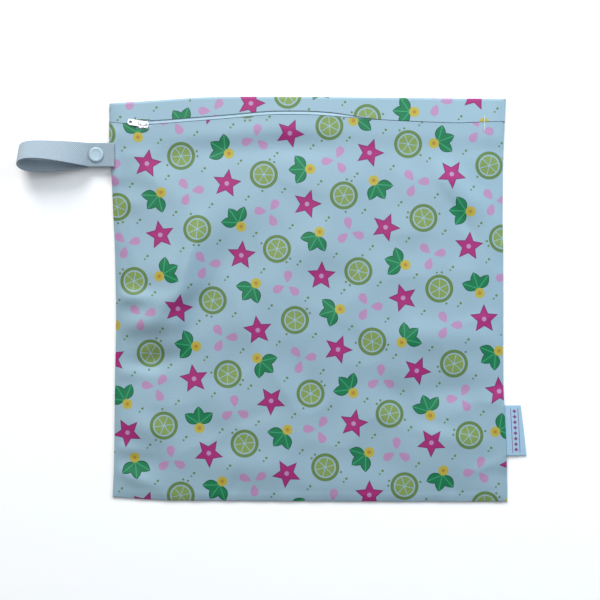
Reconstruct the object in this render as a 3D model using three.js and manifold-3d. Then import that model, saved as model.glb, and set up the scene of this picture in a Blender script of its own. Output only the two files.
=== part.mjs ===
// A zip-up wet bag of thin laminated cloth, lying flat on its back, with a webbing strap whose loop is
// closed by a plastic snap, and a blank woven label in the right-hand seam.
// The back's cloth folds over the top edge and comes down the front as far as the zip. The front panel
// runs from the zip to the bottom seam. The two are sewn together along the sides and the bottom.
// Millimetres. +Z is up, the front faces up and +Y points to the zip.
// The origin is on the surface that the bag lies on, under the middle of the whole object.

import * as THREE from "three";
import { mergeVertices } from "three/addons/utils/BufferGeometryUtils.js";
import Module from "manifold-3d";

const wasm = await Module();
wasm.setup();

// Sizes of the bag
const bagWidth = 333; // between the side seams, at the top corners
const bagHeight = 340; // from the bottom seam to the fold at the top
const clothWall = 1;
const gap = 0.3; // between pieces that touch, or that are sewn together
const loft = 6.2; // how far the empty front swells above its seams
const loftReach = 17; // how far in from a seam most of that swelling is reached
const cornerEase = 14; // how far in from a side seam the zip and the top fold reach their full height
const foldFade = 8; // how far in from a seam the dents and folds reach their full height
const liftRoom = 7; // beside the strap or the label, over which the front is still fully lifted by it
const liftFade = 18; // beside the strap or the label, where that lift has ended

// Sizes of the zip
const tapeWidth = 10; // of each half, from the zip's middle
const tapeWall = 0.8;
const tapeSetBack = 0.6; // of the tape's edge from the zip's middle, where the coil stands in front of it
const coilWidth = 2.2; // of each half
const coilDepth = 1.3;
const zipSlot = 2.6; // of the upper tape that shows below the upper cloth's edge
const zipShoulder = 24; // over which the front comes down from the stiff zip
const sliderLength = 8.4;
const sliderWidth = 6.4;
const sliderPlate = 1;
const sliderTurn = 3; // degrees, seen from above
const bridgeSpan = 6.4;
const bridgeHeight = 2.6;
const bridgeWidth = 1.5;
const bridgeWall = 0.9;
const pullLength = 14;
const pullWidth = 5;
const pullWall = 1;
const pullEyeWidth = 3;
const pullEyeEnd = 4.3; // from the pull's hinge to the far end of its eye
const pullHole = 2.6; // across the hole near the pull's tip
const pullTurn = 7; // degrees, from the slider's own direction

// Sizes of the strap
const webbingWidth = 20;
const webbingWall = 1.5;
const strapReach = 74.6; // from the side seam to the far end of the loop
const strapSewnIn = 10;
const strapOverlap = 4.5; // of the free end on the front panel
const strapSkew = 0.8; // of the sewn end, towards the zip
const loopHeight = 16; // between the loop's two layers, where they are furthest apart
const loopTilt = 38; // degrees, how far the far end of the loop leans over
const loopSag = 1.65; // of the loop's far half, away from the zip
const floorClearance = 0.1;

// Sizes of the snap
const snapInset = 10.6; // from the side seam to the snap's axis
const snapDiameter = 12.4;
const snapCapWall = 1.2;
const snapDome = 0.35; // how far the cap is crowned
const socketDiameter = 9.4;
const socketWall = 1.9;
const studBaseWall = 0.8;
const studDiameter = 4.2;
const studHeight = 1.3;
const prongDiameter = 2;

// Sizes of the label
const labelWidth = 42.4; // along the seam
const labelReach = 16.8; // out of the seam, at its lower end
const labelWall = 1;
const labelSewnIn = 8;
const labelDroop = 0.8;

// Heights that follow from what is stacked up
const seamTop = 2 * clothWall + gap;
const tapeLift = tapeWall + gap;
const sliderFloor = clothWall + gap;
const coilFloor = sliderFloor + sliderPlate + gap;
const zipTop = coilFloor + coilDepth + gap + clothWall;

const halfWidth = bagWidth / 2;
const halfHeight = bagHeight / 2;

// Places along the edges: across is a share of the bag's width from the left, up a share of its height
// from the bottom, and inset a share of the same size that the edge's own direction crosses.
const leftSeam = [
  { up: 0, inset: 0.0068 },
  { up: 0.105, inset: 0.0111 },
  { up: 0.286, inset: 0.0131 },
  { up: 0.454, inset: 0.0159 },
  { up: 0.619, inset: 0.0131 },
  { up: 0.703, inset: 0.0093 },
  { up: 0.82, inset: 0.0035 },
  { up: 0.888, inset: -0.0015 },
  { up: 1, inset: 0 },
];
const rightSeam = [
  { up: 0, inset: -0.0035 },
  { up: 0.125, inset: -0.001 },
  { up: 0.242, inset: 0.0048 },
  { up: 0.313, inset: 0.0071 },
  { up: 0.62, inset: 0.0071 },
  { up: 0.7, inset: 0.0086 },
  { up: 0.846, inset: 0.0071 },
  { up: 0.945, inset: 0.0028 },
  { up: 1, inset: 0 },
];
const bottomSeam = [
  { across: 0, inset: 0.0119 },
  { across: 0.062, inset: 0.0072 },
  { across: 0.134, inset: 0.0032 },
  { across: 0.253, inset: 0.0022 },
  { across: 0.48, inset: 0.001 },
  { across: 0.73, inset: 0.0003 },
  { across: 1, inset: 0 },
];
const topFold = [
  { across: 0, inset: 0.0156 },
  { across: 0.062, inset: 0.0124 },
  { across: 0.134, inset: 0.0077 },
  { across: 0.206, inset: 0.0027 },
  { across: 0.278, inset: 0 },
  { across: 0.48, inset: 0 },
  { across: 0.77, inset: 0.0027 },
  { across: 1, inset: 0.0052 },
];
// The zip's middle line: drop is its distance below the highest point of the top edge.
const zipRoute = [
  { across: 0, drop: 0.0638 },
  { across: 0.044, drop: 0.0672 },
  { across: 0.102, drop: 0.0692 },
  { across: 0.205, drop: 0.0616 },
  { across: 0.3035, drop: 0.0512 },
  { across: 0.399, drop: 0.043 },
  { across: 0.48, drop: 0.0415 },
  { across: 0.528, drop: 0.0435 },
  { across: 0.6235, drop: 0.0492 },
  { across: 0.722, drop: 0.0569 },
  { across: 0.818, drop: 0.0586 },
  { across: 1, drop: 0.0569 },
];
const sliderAcross = 0.0867;
const slotNarrows = 0.55; // where the upper cloth's edge begins to close over the zip
const slotCloses = 0.69;
const coilEnds = 0.944;
const strapUp = 0.8555; // the strap's middle
const labelUp = 0.176; // the label's middle
const labelTopShare = 0.83; // how far the label's upper end reaches, of labelReach

// Soft folds and dents in the front panel: the middle of each, its turn in degrees, its half length and
// half width as shares of the bag's width, and its height as a share of the loft.
const frontFolds = [
  { across: 0.172, up: 0.545, turn: 66, long: 0.15, wide: 0.036, high: 0.38 },
  { across: 0.25, up: 0.52, turn: 66, long: 0.14, wide: 0.033, high: -0.2 },
  { across: 0.077, up: 0.446, turn: 12, long: 0.07, wide: 0.03, high: 0.3 },
  { across: 0.09, up: 0.33, turn: 20, long: 0.09, wide: 0.034, high: -0.26 },
  { across: 0.1, up: 0.8, turn: -35, long: 0.07, wide: 0.03, high: 0.18 },
  { across: 0.035, up: 0.735, turn: 4, long: 0.05, wide: 0.024, high: 0.2 },
  { across: 0.035, up: 0.515, turn: -6, long: 0.045, wide: 0.022, high: 0.2 },
  { across: 0.077, up: 0.185, turn: -20, long: 0.08, wide: 0.03, high: 0.22 },
  { across: 0.075, up: 0.105, turn: -14, long: 0.08, wide: 0.026, high: -0.15 },
  { across: 0.404, up: 0.882, turn: 3, long: 0.24, wide: 0.032, high: -0.18 },
  { across: 0.846, up: 0.407, turn: -3, long: 0.16, wide: 0.042, high: 0.32 },
  { across: 0.871, up: 0.276, turn: 2, long: 0.13, wide: 0.036, high: -0.24 },
  { across: 0.871, up: 0.155, turn: -4, long: 0.12, wide: 0.034, high: 0.18 },
  { across: 0.889, up: 0.76, turn: -48, long: 0.12, wide: 0.034, high: 0.22 },
  { across: 0.965, up: 0.84, turn: -10, long: 0.05, wide: 0.024, high: 0.17 },
  { across: 0.384, up: 0.086, turn: 0, long: 0.16, wide: 0.04, high: 0.16 },
  { across: 0.5, up: 0.62, turn: 30, long: 0.12, wide: 0.05, high: 0.1 },
  { across: 0.66, up: 0.66, turn: 80, long: 0.12, wide: 0.045, high: -0.1 },
  { across: 0.6, up: 0.27, turn: 60, long: 0.13, wide: 0.045, high: -0.11 },
];

// The loop's side view, from the snap (out 0) to its far end (out 1): spread is the distance between its
// layers as a share of loopHeight, middle is how high its middle is carried, as a share of half of that,
// and lean is a share of loopTilt.
const loopShape = [
  { out: 0.155, spread: 0.46, middle: 0.46, lean: 0.22 },
  { out: 0.284, spread: 0.667, middle: 0.667, lean: 0.5 },
  { out: 0.426, spread: 0.854, middle: 0.854, lean: 0.7 },
  { out: 0.58, spread: 0.969, middle: 0.969, lean: 0.87 },
  { out: 0.73, spread: 1, middle: 1, lean: 0.97 },
  { out: 0.84, spread: 0.96, middle: 1.02, lean: 1 },
  { out: 0.925, spread: 0.8, middle: 1.04, lean: 1 },
  { out: 0.98, spread: 0.46, middle: 1.05, lean: 1 },
];

const clothColour = 0xa3c2d4;
const webbingColour = 0xaec6d0;
const finishes = {
  cloth: new THREE.MeshStandardMaterial({ color: clothColour, roughness: 0.62 }),
  tape: new THREE.MeshStandardMaterial({ color: 0xb4cbd9, roughness: 0.8 }),
  webbing: new THREE.MeshStandardMaterial({ color: webbingColour, roughness: 0.85 }),
  plastic: new THREE.MeshStandardMaterial({ color: 0xb9d2e0, roughness: 0.35 }),
  metal: new THREE.MeshStandardMaterial({ color: 0xc9cdd4, roughness: 0.25, metalness: 1 }),
  label: new THREE.MeshStandardMaterial({ color: 0xa9cfe2, roughness: 0.5 }),
};

// Small sums

const lerp = THREE.MathUtils.lerp;
const radians = THREE.MathUtils.degToRad;
const smooth = (from, to, value) => THREE.MathUtils.smoothstep((value - from) / (to - from), 0, 1);
const easeIn = (distance, reach) => 1 - Math.exp(-Math.max(distance, 0) / reach);

// A smooth curve through a table's rows, ordered by the column key: the column value at a place.
function follow(rows, key, value, place) {
  const last = rows.length - 1;
  const at = Math.min(Math.max(place, rows[0][key]), rows[last][key]);
  const i = Math.min(last - 1, Math.max(0, rows.findIndex((row) => row[key] > at) - 1));
  const k = at >= rows[last][key] ? last - 1 : i;
  const slope = (n) => {
    const before = rows[Math.max(n - 1, 0)];
    const after = rows[Math.min(n + 1, last)];
    return (after[value] - before[value]) / (after[key] - before[key]);
  };
  const [a, b] = [rows[k], rows[k + 1]];
  const width = b[key] - a[key];
  const t = (at - a[key]) / width;
  const ends = (2 * t ** 3 - 3 * t ** 2 + 1) * a[value] + (3 * t ** 2 - 2 * t ** 3) * b[value];
  const slopes = (t ** 3 - 2 * t ** 2 + t) * slope(k) + (t ** 3 - t ** 2) * slope(k + 1);
  return ends + width * slopes;
}

// The bag's outline and the zip's line, in the bag's own frame, whose origin is the bag's middle

const upOf = (y) => y / bagHeight + 0.5;
const acrossOf = (x) => x / bagWidth + 0.5;
const leftEdge = (y) => -halfWidth + bagWidth * follow(leftSeam, "up", "inset", upOf(y));
const rightEdge = (y) => halfWidth - bagWidth * follow(rightSeam, "up", "inset", upOf(y));
const bottomEdge = (x) => -halfHeight + bagHeight * follow(bottomSeam, "across", "inset", acrossOf(x));
const topEdge = (x) => halfHeight - bagHeight * follow(topFold, "across", "inset", acrossOf(x));
const zipLine = (x) => halfHeight - bagHeight * follow(zipRoute, "across", "drop", acrossOf(x));

const sliderX = bagWidth * (sliderAcross - 0.5);
const sliderY = zipLine(sliderX);
const strapY = bagHeight * (strapUp - 0.5);
const strapX = leftEdge(strapY);
const labelY = bagHeight * (labelUp - 0.5);

const inFromSeam = (x, y) => Math.min(x - leftEdge(y), rightEdge(y) - x);
const cornerRise = (x, y) => smooth(0, cornerEase, inFromSeam(x, y));

// The cloth stands as high along the fold at the top edge as over the zip. The fold is a half circle.
const zipHeight = (x, y) => lerp(seamTop + tapeLift, zipTop, cornerRise(x, y));
const foldHeight = (x) => zipHeight(x, halfHeight);
const foldMiddle = (x) => topEdge(x) - foldHeight(x) / 2;

// How far the two cloths stand back from the zip's middle line: they part for the slider, and the upper
// one leaves a strip of tape bare until it closes over it.
const sliderSlot = (x) => {
  const beyond = smooth(sliderLength / 2 + gap, sliderLength, Math.abs(x - sliderX));
  return lerp(sliderWidth / 2 + 2 * gap, gap / 2, beyond);
};
const bareTape = (x) =>
  lerp(zipSlot, gap / 2, smooth(slotNarrows, slotCloses, acrossOf(x))) * smooth(0, 1, x - sliderX);
const upperLip = (x) => zipLine(x) + Math.max(gap / 2, bareTape(x), sliderSlot(x));
const lowerLip = (x) => zipLine(x) - Math.max(gap / 2, sliderSlot(x));

// Where the strap or the label is sewn in, the front is lifted by its thickness.
function sewnLift(x, y) {
  const besideStrap = smooth(webbingWidth / 2 + liftFade, webbingWidth / 2 + liftRoom, Math.abs(y - strapY));
  const besideLabel = smooth(labelWidth / 2 + liftFade, labelWidth / 2 + liftRoom, Math.abs(y - labelY));
  const strapLift = (webbingWall + gap) * besideStrap * Math.exp(-Math.max(x - leftEdge(y), 0) / cornerEase);
  const labelLift = (labelWall + gap) * besideLabel * Math.exp(-Math.max(rightEdge(y) - x, 0) / cornerEase);
  return strapLift + labelLift;
}

// Each fold is a bell-shaped ridge or dent, longer than it is wide, that dies away at the seams.
function foldRelief(x, y) {
  const sum = frontFolds.reduce((total, fold) => {
    const dx = x - bagWidth * (fold.across - 0.5);
    const dy = y - bagHeight * (fold.up - 0.5);
    const turn = radians(fold.turn);
    const along = (dx * Math.cos(turn) + dy * Math.sin(turn)) / (fold.long * bagWidth);
    const over = (dy * Math.cos(turn) - dx * Math.sin(turn)) / (fold.wide * bagWidth);
    return total + fold.high * loft * Math.exp(-along * along - over * over);
  }, 0);
  return sum * easeIn(inFromSeam(x, y), foldFade) * easeIn(y - bottomEdge(x), foldFade);
}

// The height of the front's upper side: a pillow between the seams, held up along the stiff zip.
function frontHeight(x, y) {
  const below = zipLine(x) - y;
  const sides = easeIn(x - leftEdge(y), loftReach) * easeIn(rightEdge(y) - x, loftReach);
  const panel = seamTop + loft * sides * easeIn(y - bottomEdge(x), loftReach) + foldRelief(x, y);
  return lerp(zipHeight(x, y), panel, smooth(tapeWidth, tapeWidth + zipShoulder, below)) + sewnLift(x, y);
}

// Meshes

// A closed mesh from equal rings of points, capped at both ends. The caps are cut into triangles in the
// flat section that each ring follows, and each triangle keeps the ring's own order.
function loftRings(rings, section) {
  const size = rings[0].length;
  const points = rings.flat();
  const faces = [];
  for (let i = 0; i + 1 < rings.length; i += 1) {
    for (let j = 0; j < size; j += 1) {
      const next = (j + 1) % size;
      const [a, b, c, d] = [i * size + j, i * size + next, (i + 1) * size + next, (i + 1) * size + j];
      faces.push([a, b, c], [a, c, d]);
    }
  }
  const end = (rings.length - 1) * size;
  for (const face of THREE.ShapeUtils.triangulateShape(section, [])) {
    const [a, b, c] = face.sort((one, other) => one - other);
    faces.push([a, c, b], [end + a, end + b, end + c]);
  }
  return facingOut(points, faces);
}

// A closed sheet from two equal grids of points, one for each side of the cloth.
function sheet(over, under) {
  const rows = over.length;
  const columns = over[0].length;
  const points = [...over.flat(), ...under.flat()];
  const below = rows * columns;
  const at = (i, j) => i * columns + j;
  const faces = [];
  for (let i = 0; i + 1 < rows; i += 1) {
    for (let j = 0; j + 1 < columns; j += 1) {
      const [a, b, c, d] = [at(i, j), at(i, j + 1), at(i + 1, j + 1), at(i + 1, j)];
      faces.push([a, b, c], [a, c, d], [below + a, below + c, below + b], [below + a, below + d, below + c]);
    }
  }
  const rim = [];
  for (let j = 0; j < columns; j += 1) rim.push(at(0, j));
  for (let i = 1; i < rows; i += 1) rim.push(at(i, columns - 1));
  for (let j = columns - 2; j >= 0; j -= 1) rim.push(at(rows - 1, j));
  for (let i = rows - 2; i > 0; i -= 1) rim.push(at(i, 0));
  rim.forEach((a, n) => {
    const b = rim[(n + 1) % rim.length];
    faces.push([a, below + a, b], [b, below + a, below + b]);
  });
  return facingOut(points, faces);
}

// A geometry from points and faces, turned round if its volume comes out negative.
function facingOut(points, faces) {
  const volume = faces.reduce(
    (sum, [a, b, c]) => sum + points[a].dot(new THREE.Vector3().crossVectors(points[b], points[c])),
    0,
  );
  const turned = volume < 0 ? faces.map(([a, b, c]) => [a, c, b]) : faces;
  return new THREE.BufferGeometry().setFromPoints(points).setIndex(turned.flat());
}

function toSolid(geometry) {
  const bare = new THREE.BufferGeometry().setAttribute("position", geometry.getAttribute("position"));
  const merged = mergeVertices(bare.setIndex(geometry.index), 1e-4);
  return new wasm.Manifold(
    new wasm.Mesh({
      numProp: 3,
      vertProperties: merged.attributes.position.array,
      triVerts: new Uint32Array(merged.index.array),
    }),
  );
}

function toGeometry(solid) {
  const mesh = solid.getMesh();
  return new THREE.BufferGeometry()
    .setAttribute("position", new THREE.BufferAttribute(mesh.vertProperties, 3))
    .setIndex(new THREE.BufferAttribute(mesh.triVerts, 1));
}

const join = (...shapes) => toGeometry(shapes.map(toSolid).reduce((all, one) => all.add(one)));
const cut = (shape, tool) => toGeometry(toSolid(shape).subtract(toSolid(tool)));

// A turned piece from its half section, a closed list of [radius, height], standing on +Z.
function turned(profile, sides) {
  const closed = [...profile, profile[0]].map(([radius, height]) => new THREE.Vector2(radius, height));
  return new THREE.LatheGeometry(closed, sides).rotateX(Math.PI / 2);
}

function addPiece(parent, name, geometry, finish) {
  const mesh = new THREE.Mesh(geometry, finish);
  mesh.name = name;
  parent.add(mesh);
  return mesh;
}

// The cloth

// Steps from 0 to 1 that are closer together at both ends.
function crowded(steps) {
  const even = Array.from({ length: steps + 1 }, (_, i) => i / steps);
  return even.map((t) => lerp(t, (1 - Math.cos(Math.PI * t)) / 2, 0.35));
}

// Places from side to side: closer together at the seams, with more beside the slider.
function clothColumns() {
  const steps = 26;
  const besideSlider = [-1, -0.78, -0.5, 0, 0.5, 0.78, 1].map(
    (step) => sliderAcross + (step * sliderLength) / bagWidth,
  );
  const clear = crowded(steps).filter((t) => besideSlider.every((near) => Math.abs(near - t) > 0.25 / steps));
  return [...clear, ...besideSlider].sort((a, b) => a - b);
}

const columns = clothColumns();
const atColumn = (share, y) => lerp(leftEdge(y), rightEdge(y), share);

// The front panel has a row of points at each edge of the tape under it, and the rest below.
function frontPanel() {
  const tapeEdge = (nominal) => zipLine(nominal) - tapeWidth - gap;
  const row = (y) =>
    columns.map((share) => {
      const nominal = bagWidth * (share - 0.5);
      const x = atColumn(share, y(nominal));
      return new THREE.Vector3(x, y(nominal), frontHeight(x, y(nominal)));
    });
  const over = [
    ...crowded(29).map((t) => row((nominal) => lerp(bottomEdge(nominal), tapeEdge(nominal), t))),
    row((nominal) => lerp(tapeEdge(nominal), lowerLip(nominal), 0.5)),
    row(lowerLip),
  ];
  const under = over.map((points) => points.map((p) => new THREE.Vector3(p.x, p.y, p.z - clothWall)));
  return sheet(over, under);
}

// The back's cloth: flat on the surface, round the fold at the top edge, and down the front to the zip.
function backPanel() {
  const backRows = 8;
  const foldRows = 6;
  const bandRows = 4;
  const over = [];
  const under = [];
  const addRow = (outer, inner) => {
    over.push(columns.map((share) => outer(share, bagWidth * (share - 0.5))));
    under.push(columns.map((share) => inner(share, bagWidth * (share - 0.5))));
  };
  const point = (share, y, z) => new THREE.Vector3(atColumn(share, y), y, z);
  for (let i = 0; i < backRows; i += 1) {
    const y = (nominal) => lerp(bottomEdge(nominal), foldMiddle(nominal), i / backRows);
    addRow(
      (share, nominal) => point(share, y(nominal), 0),
      (share, nominal) => point(share, y(nominal), clothWall),
    );
  }
  for (let i = 0; i <= foldRows; i += 1) {
    const angle = Math.PI * (i / foldRows - 0.5);
    const round = (share, nominal, inwards) => {
      const outerRadius = foldHeight(nominal) / 2;
      const radius = outerRadius - inwards;
      const y = foldMiddle(nominal) + radius * Math.cos(angle);
      return point(share, y, outerRadius + radius * Math.sin(angle));
    };
    addRow(
      (share, nominal) => round(share, nominal, 0),
      (share, nominal) => round(share, nominal, clothWall),
    );
  }
  for (let i = 1; i <= bandRows; i += 1) {
    const band = (share, nominal, inwards) => {
      const y = lerp(foldMiddle(nominal), upperLip(nominal), i / bandRows);
      return point(share, y, frontHeight(atColumn(share, y), y) - inwards);
    };
    addRow(
      (share, nominal) => band(share, nominal, 0),
      (share, nominal) => band(share, nominal, clothWall),
    );
  }
  return sheet(over, under);
}

// The zip

// One half of the zip: a tape whose ends are caught in the side seams, and under its inner edge the coil,
// which runs from the slider to its end near the right-hand seam. The tape hangs just under the cloth.
function zipTape(side) {
  const coilFrom = sliderAcross + sliderPlate / bagWidth;
  const between = columns.filter((share) => share > coilFrom && share < coilEnds);
  const strip = (shares, profile) => {
    const rings = shares.map((share) => {
      const nominal = bagWidth * (share - 0.5);
      return profile(nominal).map(([out, depth]) => {
        const y = zipLine(nominal) + side * out;
        const x = atColumn(share, y);
        return new THREE.Vector3(x, y, frontHeight(x, y) - clothWall - gap - depth);
      });
    });
    return loftRings(rings, profile(halfWidth).map(([out, depth]) => new THREE.Vector2(out, -depth)));
  };
  const inner = (x) => lerp(sliderWidth / 4, tapeSetBack, smooth(-sliderPlate, sliderPlate, x - sliderX));
  const tape = strip(columns, (x) => [
    [inner(x), 0],
    [tapeWidth, 0],
    [tapeWidth, tapeWall],
    [inner(x), tapeWall],
  ]);
  const coil = strip([coilFrom, ...between, coilEnds], () => [
    [gap / 2, tapeWall / 4],
    [gap / 2 + coilWidth, tapeWall / 4],
    [gap / 2 + coilWidth, coilDepth - gap],
    [coilWidth, coilDepth],
    [gap, coilDepth],
    [gap / 2, coilDepth - gap],
  ]);
  return join(tape, coil);
}

// The slider in its own frame: its length along X, its nose to the left. Two plates hold the zip between
// them, a post at the nose parts it, and the pull hangs in the bridge on top.
function zipSlider() {
  const half = sliderLength / 2;
  const nose = sliderWidth / 2;
  const heel = 0.82 * nose;
  const round = 1.2;
  const outline = new THREE.Shape();
  outline.moveTo(half - round, -heel);
  outline.absarc(half - round, -heel + round, round, -Math.PI / 2, 0, false);
  outline.absarc(half - round, heel - round, round, 0, Math.PI / 2, false);
  outline.lineTo(-half + round, nose);
  outline.absarc(-half + round, nose - round, round, Math.PI / 2, Math.PI, false);
  outline.absarc(-half + round, -nose + round, round, Math.PI, 1.5 * Math.PI, false);
  const plateShape = { depth: sliderPlate, bevelEnabled: false, curveSegments: 4 };
  const plate = (z) => new THREE.ExtrudeGeometry(outline, plateShape).translate(0, 0, z);
  const topPlate = zipTop - sliderPlate;
  const postLength = 1.6;
  const postWidth = 1.6;
  const postTop = topPlate + sliderPlate / 2;
  const postFoot = sliderFloor + sliderPlate / 2;
  const post = new THREE.BoxGeometry(postLength, postWidth, postTop - postFoot).translate(
    -half + round + postLength / 2,
    0,
    (postTop + postFoot) / 2,
  );
  const arch = new THREE.Shape();
  const outer = bridgeSpan / 2;
  const inner = outer - bridgeWall;
  const sunk = sliderPlate / 2;
  arch.moveTo(-outer, -sunk);
  arch.lineTo(-outer, bridgeHeight - bridgeWall);
  arch.lineTo(-inner, bridgeHeight);
  arch.lineTo(inner, bridgeHeight);
  arch.lineTo(outer, bridgeHeight - bridgeWall);
  arch.lineTo(outer, -sunk);
  arch.lineTo(inner, -sunk);
  arch.lineTo(inner, bridgeHeight - bridgeWall);
  arch.lineTo(-inner, bridgeHeight - bridgeWall);
  arch.lineTo(-inner, -sunk);
  const bridge = new THREE.ExtrudeGeometry(arch, { depth: bridgeWidth, bevelEnabled: false })
    .rotateX(Math.PI / 2)
    .translate(0, bridgeWidth / 2, zipTop);
  return join(plate(sliderFloor), plate(topPlate), post, bridge);
}

// The pull in the frame of its hinge: the hinge bar along Y, the tab along -X.
function zipPull() {
  const half = pullWidth / 2;
  const bar = pullWall / 2;
  const tip = pullLength - bar;
  const tab = new THREE.Shape();
  tab.moveTo(bar, -half);
  tab.lineTo(bar, half);
  tab.lineTo(-tip + half, half);
  tab.absarc(-tip + half, 0, half, Math.PI / 2, 1.5 * Math.PI, false);
  const eye = new THREE.Path();
  eye.moveTo(-bar, -pullEyeWidth / 2);
  eye.lineTo(-bar, pullEyeWidth / 2);
  eye.lineTo(-pullEyeEnd, pullEyeWidth / 2);
  eye.lineTo(-pullEyeEnd, -pullEyeWidth / 2);
  const hole = new THREE.Path();
  hole.absarc(-tip + half, 0, pullHole / 2, 0, 2 * Math.PI, false);
  tab.holes.push(eye, hole);
  return new THREE.ExtrudeGeometry(tab, { depth: pullWall, bevelEnabled: false, curveSegments: 8 }).translate(
    0,
    0,
    -pullWall / 2,
  );
}

// The strap and its snap

const sewnLayer = clothWall + gap + webbingWall / 2; // height of the strap's middle inside the seam
const lowerLayer = snapCapWall + gap + webbingWall / 2; // and under the snap
const snapCore = socketWall + gap + studBaseWall; // between the two layers
const upperLayer = lowerLayer + webbingWall + 2 * gap + snapCore;
const snapX = strapX - snapInset;
const snapFlat = snapDiameter / 2 + gap; // the webbing lies flat this far from the snap's axis

// The route of the strap's middle line from its sewn end, under the snap, round the loop, over the snap
// and on to the free end. Each stop has its place and its lean.
function strapStops() {
  const stop = (x, y, z, lean = 0) => ({ place: new THREE.Vector3(x, y, z), lean });
  const loopReach = strapReach - snapInset;
  const layer = (row, side) => {
    const lean = radians(loopTilt * row.lean);
    const half = (row.spread * loopHeight) / 2;
    const middle = (row.middle * loopHeight + webbingWall) / 2;
    const standing = middle * Math.cos(lean) + (webbingWidth / 2) * Math.sin(lean) + floorClearance;
    return stop(
      snapX - row.out * loopReach,
      strapY - loopSag * smooth(0, 0.6, row.out) + side * half * Math.sin(lean),
      standing + side * half * Math.cos(lean),
      lean,
    );
  };
  const farEnd = layer({ out: 1, spread: 0, middle: 1.05, lean: 1 }, 0);
  const freeEnd = strapX + strapOverlap;
  const beside = [-0.5, 0, 0.5].map((side) => strapY + side * webbingWidth);
  const underneath = (x) => Math.max(...beside.map((y) => frontHeight(x, y)));
  const onFront = (x) => underneath(x) + gap + webbingWall / 2;
  return [
    stop(strapX + strapSewnIn, strapY + strapSkew, sewnLayer),
    stop(strapX + strapSewnIn / 2, strapY + strapSkew, sewnLayer),
    stop(strapX, strapY + strapSkew, sewnLayer),
    stop(snapX + snapFlat, strapY, lowerLayer),
    stop(snapX, strapY, lowerLayer),
    stop(snapX - snapFlat, strapY, lowerLayer),
    ...loopShape.map((row) => layer(row, -1)),
    farEnd,
    ...loopShape.map((row) => layer(row, 1)).reverse(),
    stop(snapX - snapFlat, strapY, upperLayer),
    stop(snapX, strapY, upperLayer),
    stop(snapX + snapFlat, strapY, upperLayer),
    stop(freeEnd - strapOverlap / 2, strapY, onFront(freeEnd) + gap),
    stop(freeEnd, strapY, onFront(freeEnd)),
  ];
}

function strap() {
  const stops = strapStops();
  const curve = new THREE.CatmullRomCurve3(stops.map((s) => s.place), false, "centripetal");
  const leans = stops.map((s, place) => ({ place, lean: s.lean }));
  const steps = 3 * (stops.length - 1);
  const section = [
    [-1, -1],
    [1, -1],
    [1, 1],
    [-1, 1],
  ];
  const rings = [];
  for (let i = 0; i <= steps; i += 1) {
    const t = i / steps;
    const middle = curve.getPoint(t);
    const along = curve.getTangent(t);
    const lean = follow(leans, "place", "lean", t * (stops.length - 1));
    const across = new THREE.Vector3(0, Math.cos(lean), -Math.sin(lean));
    across.addScaledVector(along, -across.dot(along)).normalize();
    const through = new THREE.Vector3().crossVectors(along, across);
    rings.push(
      section.map(([side, face]) =>
        middle
          .clone()
          .addScaledVector(across, (side * webbingWidth) / 2)
          .addScaledVector(through, (face * webbingWall) / 2),
      ),
    );
  }
  const webbing = loftRings(rings, section.map(([a, b]) => new THREE.Vector2(a, b)));
  const drillHeight = upperLayer + webbingWall;
  const drill = new THREE.CylinderGeometry(prongDiameter / 2 + gap, prongDiameter / 2 + gap, drillHeight, 16)
    .rotateX(Math.PI / 2)
    .translate(snapX, strapY, drillHeight / 2);
  return cut(webbing, drill);
}

const snapSides = 20;

// A cap and its prong, the cap's outer face upwards at height 0 and the prong down through the webbing.
function snapCap(prongLength) {
  const radius = snapDiameter / 2;
  const prong = prongDiameter / 2;
  return turned(
    [
      [0, -snapCapWall - prongLength],
      [prong, -snapCapWall - prongLength],
      [prong, -snapCapWall],
      [radius, -snapCapWall],
      [radius, -2 * snapDome],
      [0.88 * radius, -snapDome],
      [0.45 * radius, 0],
      [0, 0],
    ],
    snapSides,
  );
}

// The socket, its open side down: a ring whose bore takes the stud from below and the prong from above.
function snapSocket() {
  const prongBore = prongDiameter / 2 + gap;
  const studBore = studDiameter / 2 + gap;
  return turned(
    [
      [prongBore, socketWall],
      [prongBore, studHeight + gap],
      [studBore, studHeight + gap],
      [studBore, 0],
      [socketDiameter / 2, 0],
      [socketDiameter / 2, socketWall - snapDome],
      [socketDiameter / 2 - snapDome, socketWall],
    ],
    snapSides,
  );
}

// The stud on its base, bored for the lower cap's prong.
function snapStud() {
  const prongBore = prongDiameter / 2 + gap;
  return turned(
    [
      [prongBore, 0],
      [socketDiameter / 2, 0],
      [socketDiameter / 2, studBaseWall],
      [studDiameter / 2, studBaseWall],
      [studDiameter / 2, studBaseWall + studHeight],
      [prongBore, studBaseWall + studHeight],
    ],
    snapSides,
  );
}

// The label

// A blank label folded in half and pressed flat, sewn into the side seam by its two ends.
function sideLabel() {
  const rows = 8;
  const steps = 8;
  const height = clothWall + gap + labelWall;
  const over = [];
  for (let i = 0; i <= rows; i += 1) {
    const up = i / rows;
    const y = labelY + labelWidth * (up - 0.5);
    const seam = rightEdge(y);
    const reach = labelReach * lerp(1, labelTopShare, up);
    over.push(
      Array.from({ length: steps + 1 }, (_, j) => {
        const out = lerp(-labelSewnIn, reach, j / steps);
        return new THREE.Vector3(seam + out, y, height - labelDroop * smooth(0, reach, out));
      }),
    );
  }
  const under = over.map((row) => row.map((p) => new THREE.Vector3(p.x, p.y, p.z - labelWall)));
  return sheet(over, under);
}

// The whole object

const bag = new THREE.Group();
addPiece(bag, "front_panel", frontPanel(), finishes.cloth);
addPiece(bag, "back_panel", backPanel(), finishes.cloth);
addPiece(bag, "zip_tape_upper", zipTape(1), finishes.tape);
addPiece(bag, "zip_tape_lower", zipTape(-1), finishes.tape);

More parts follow.
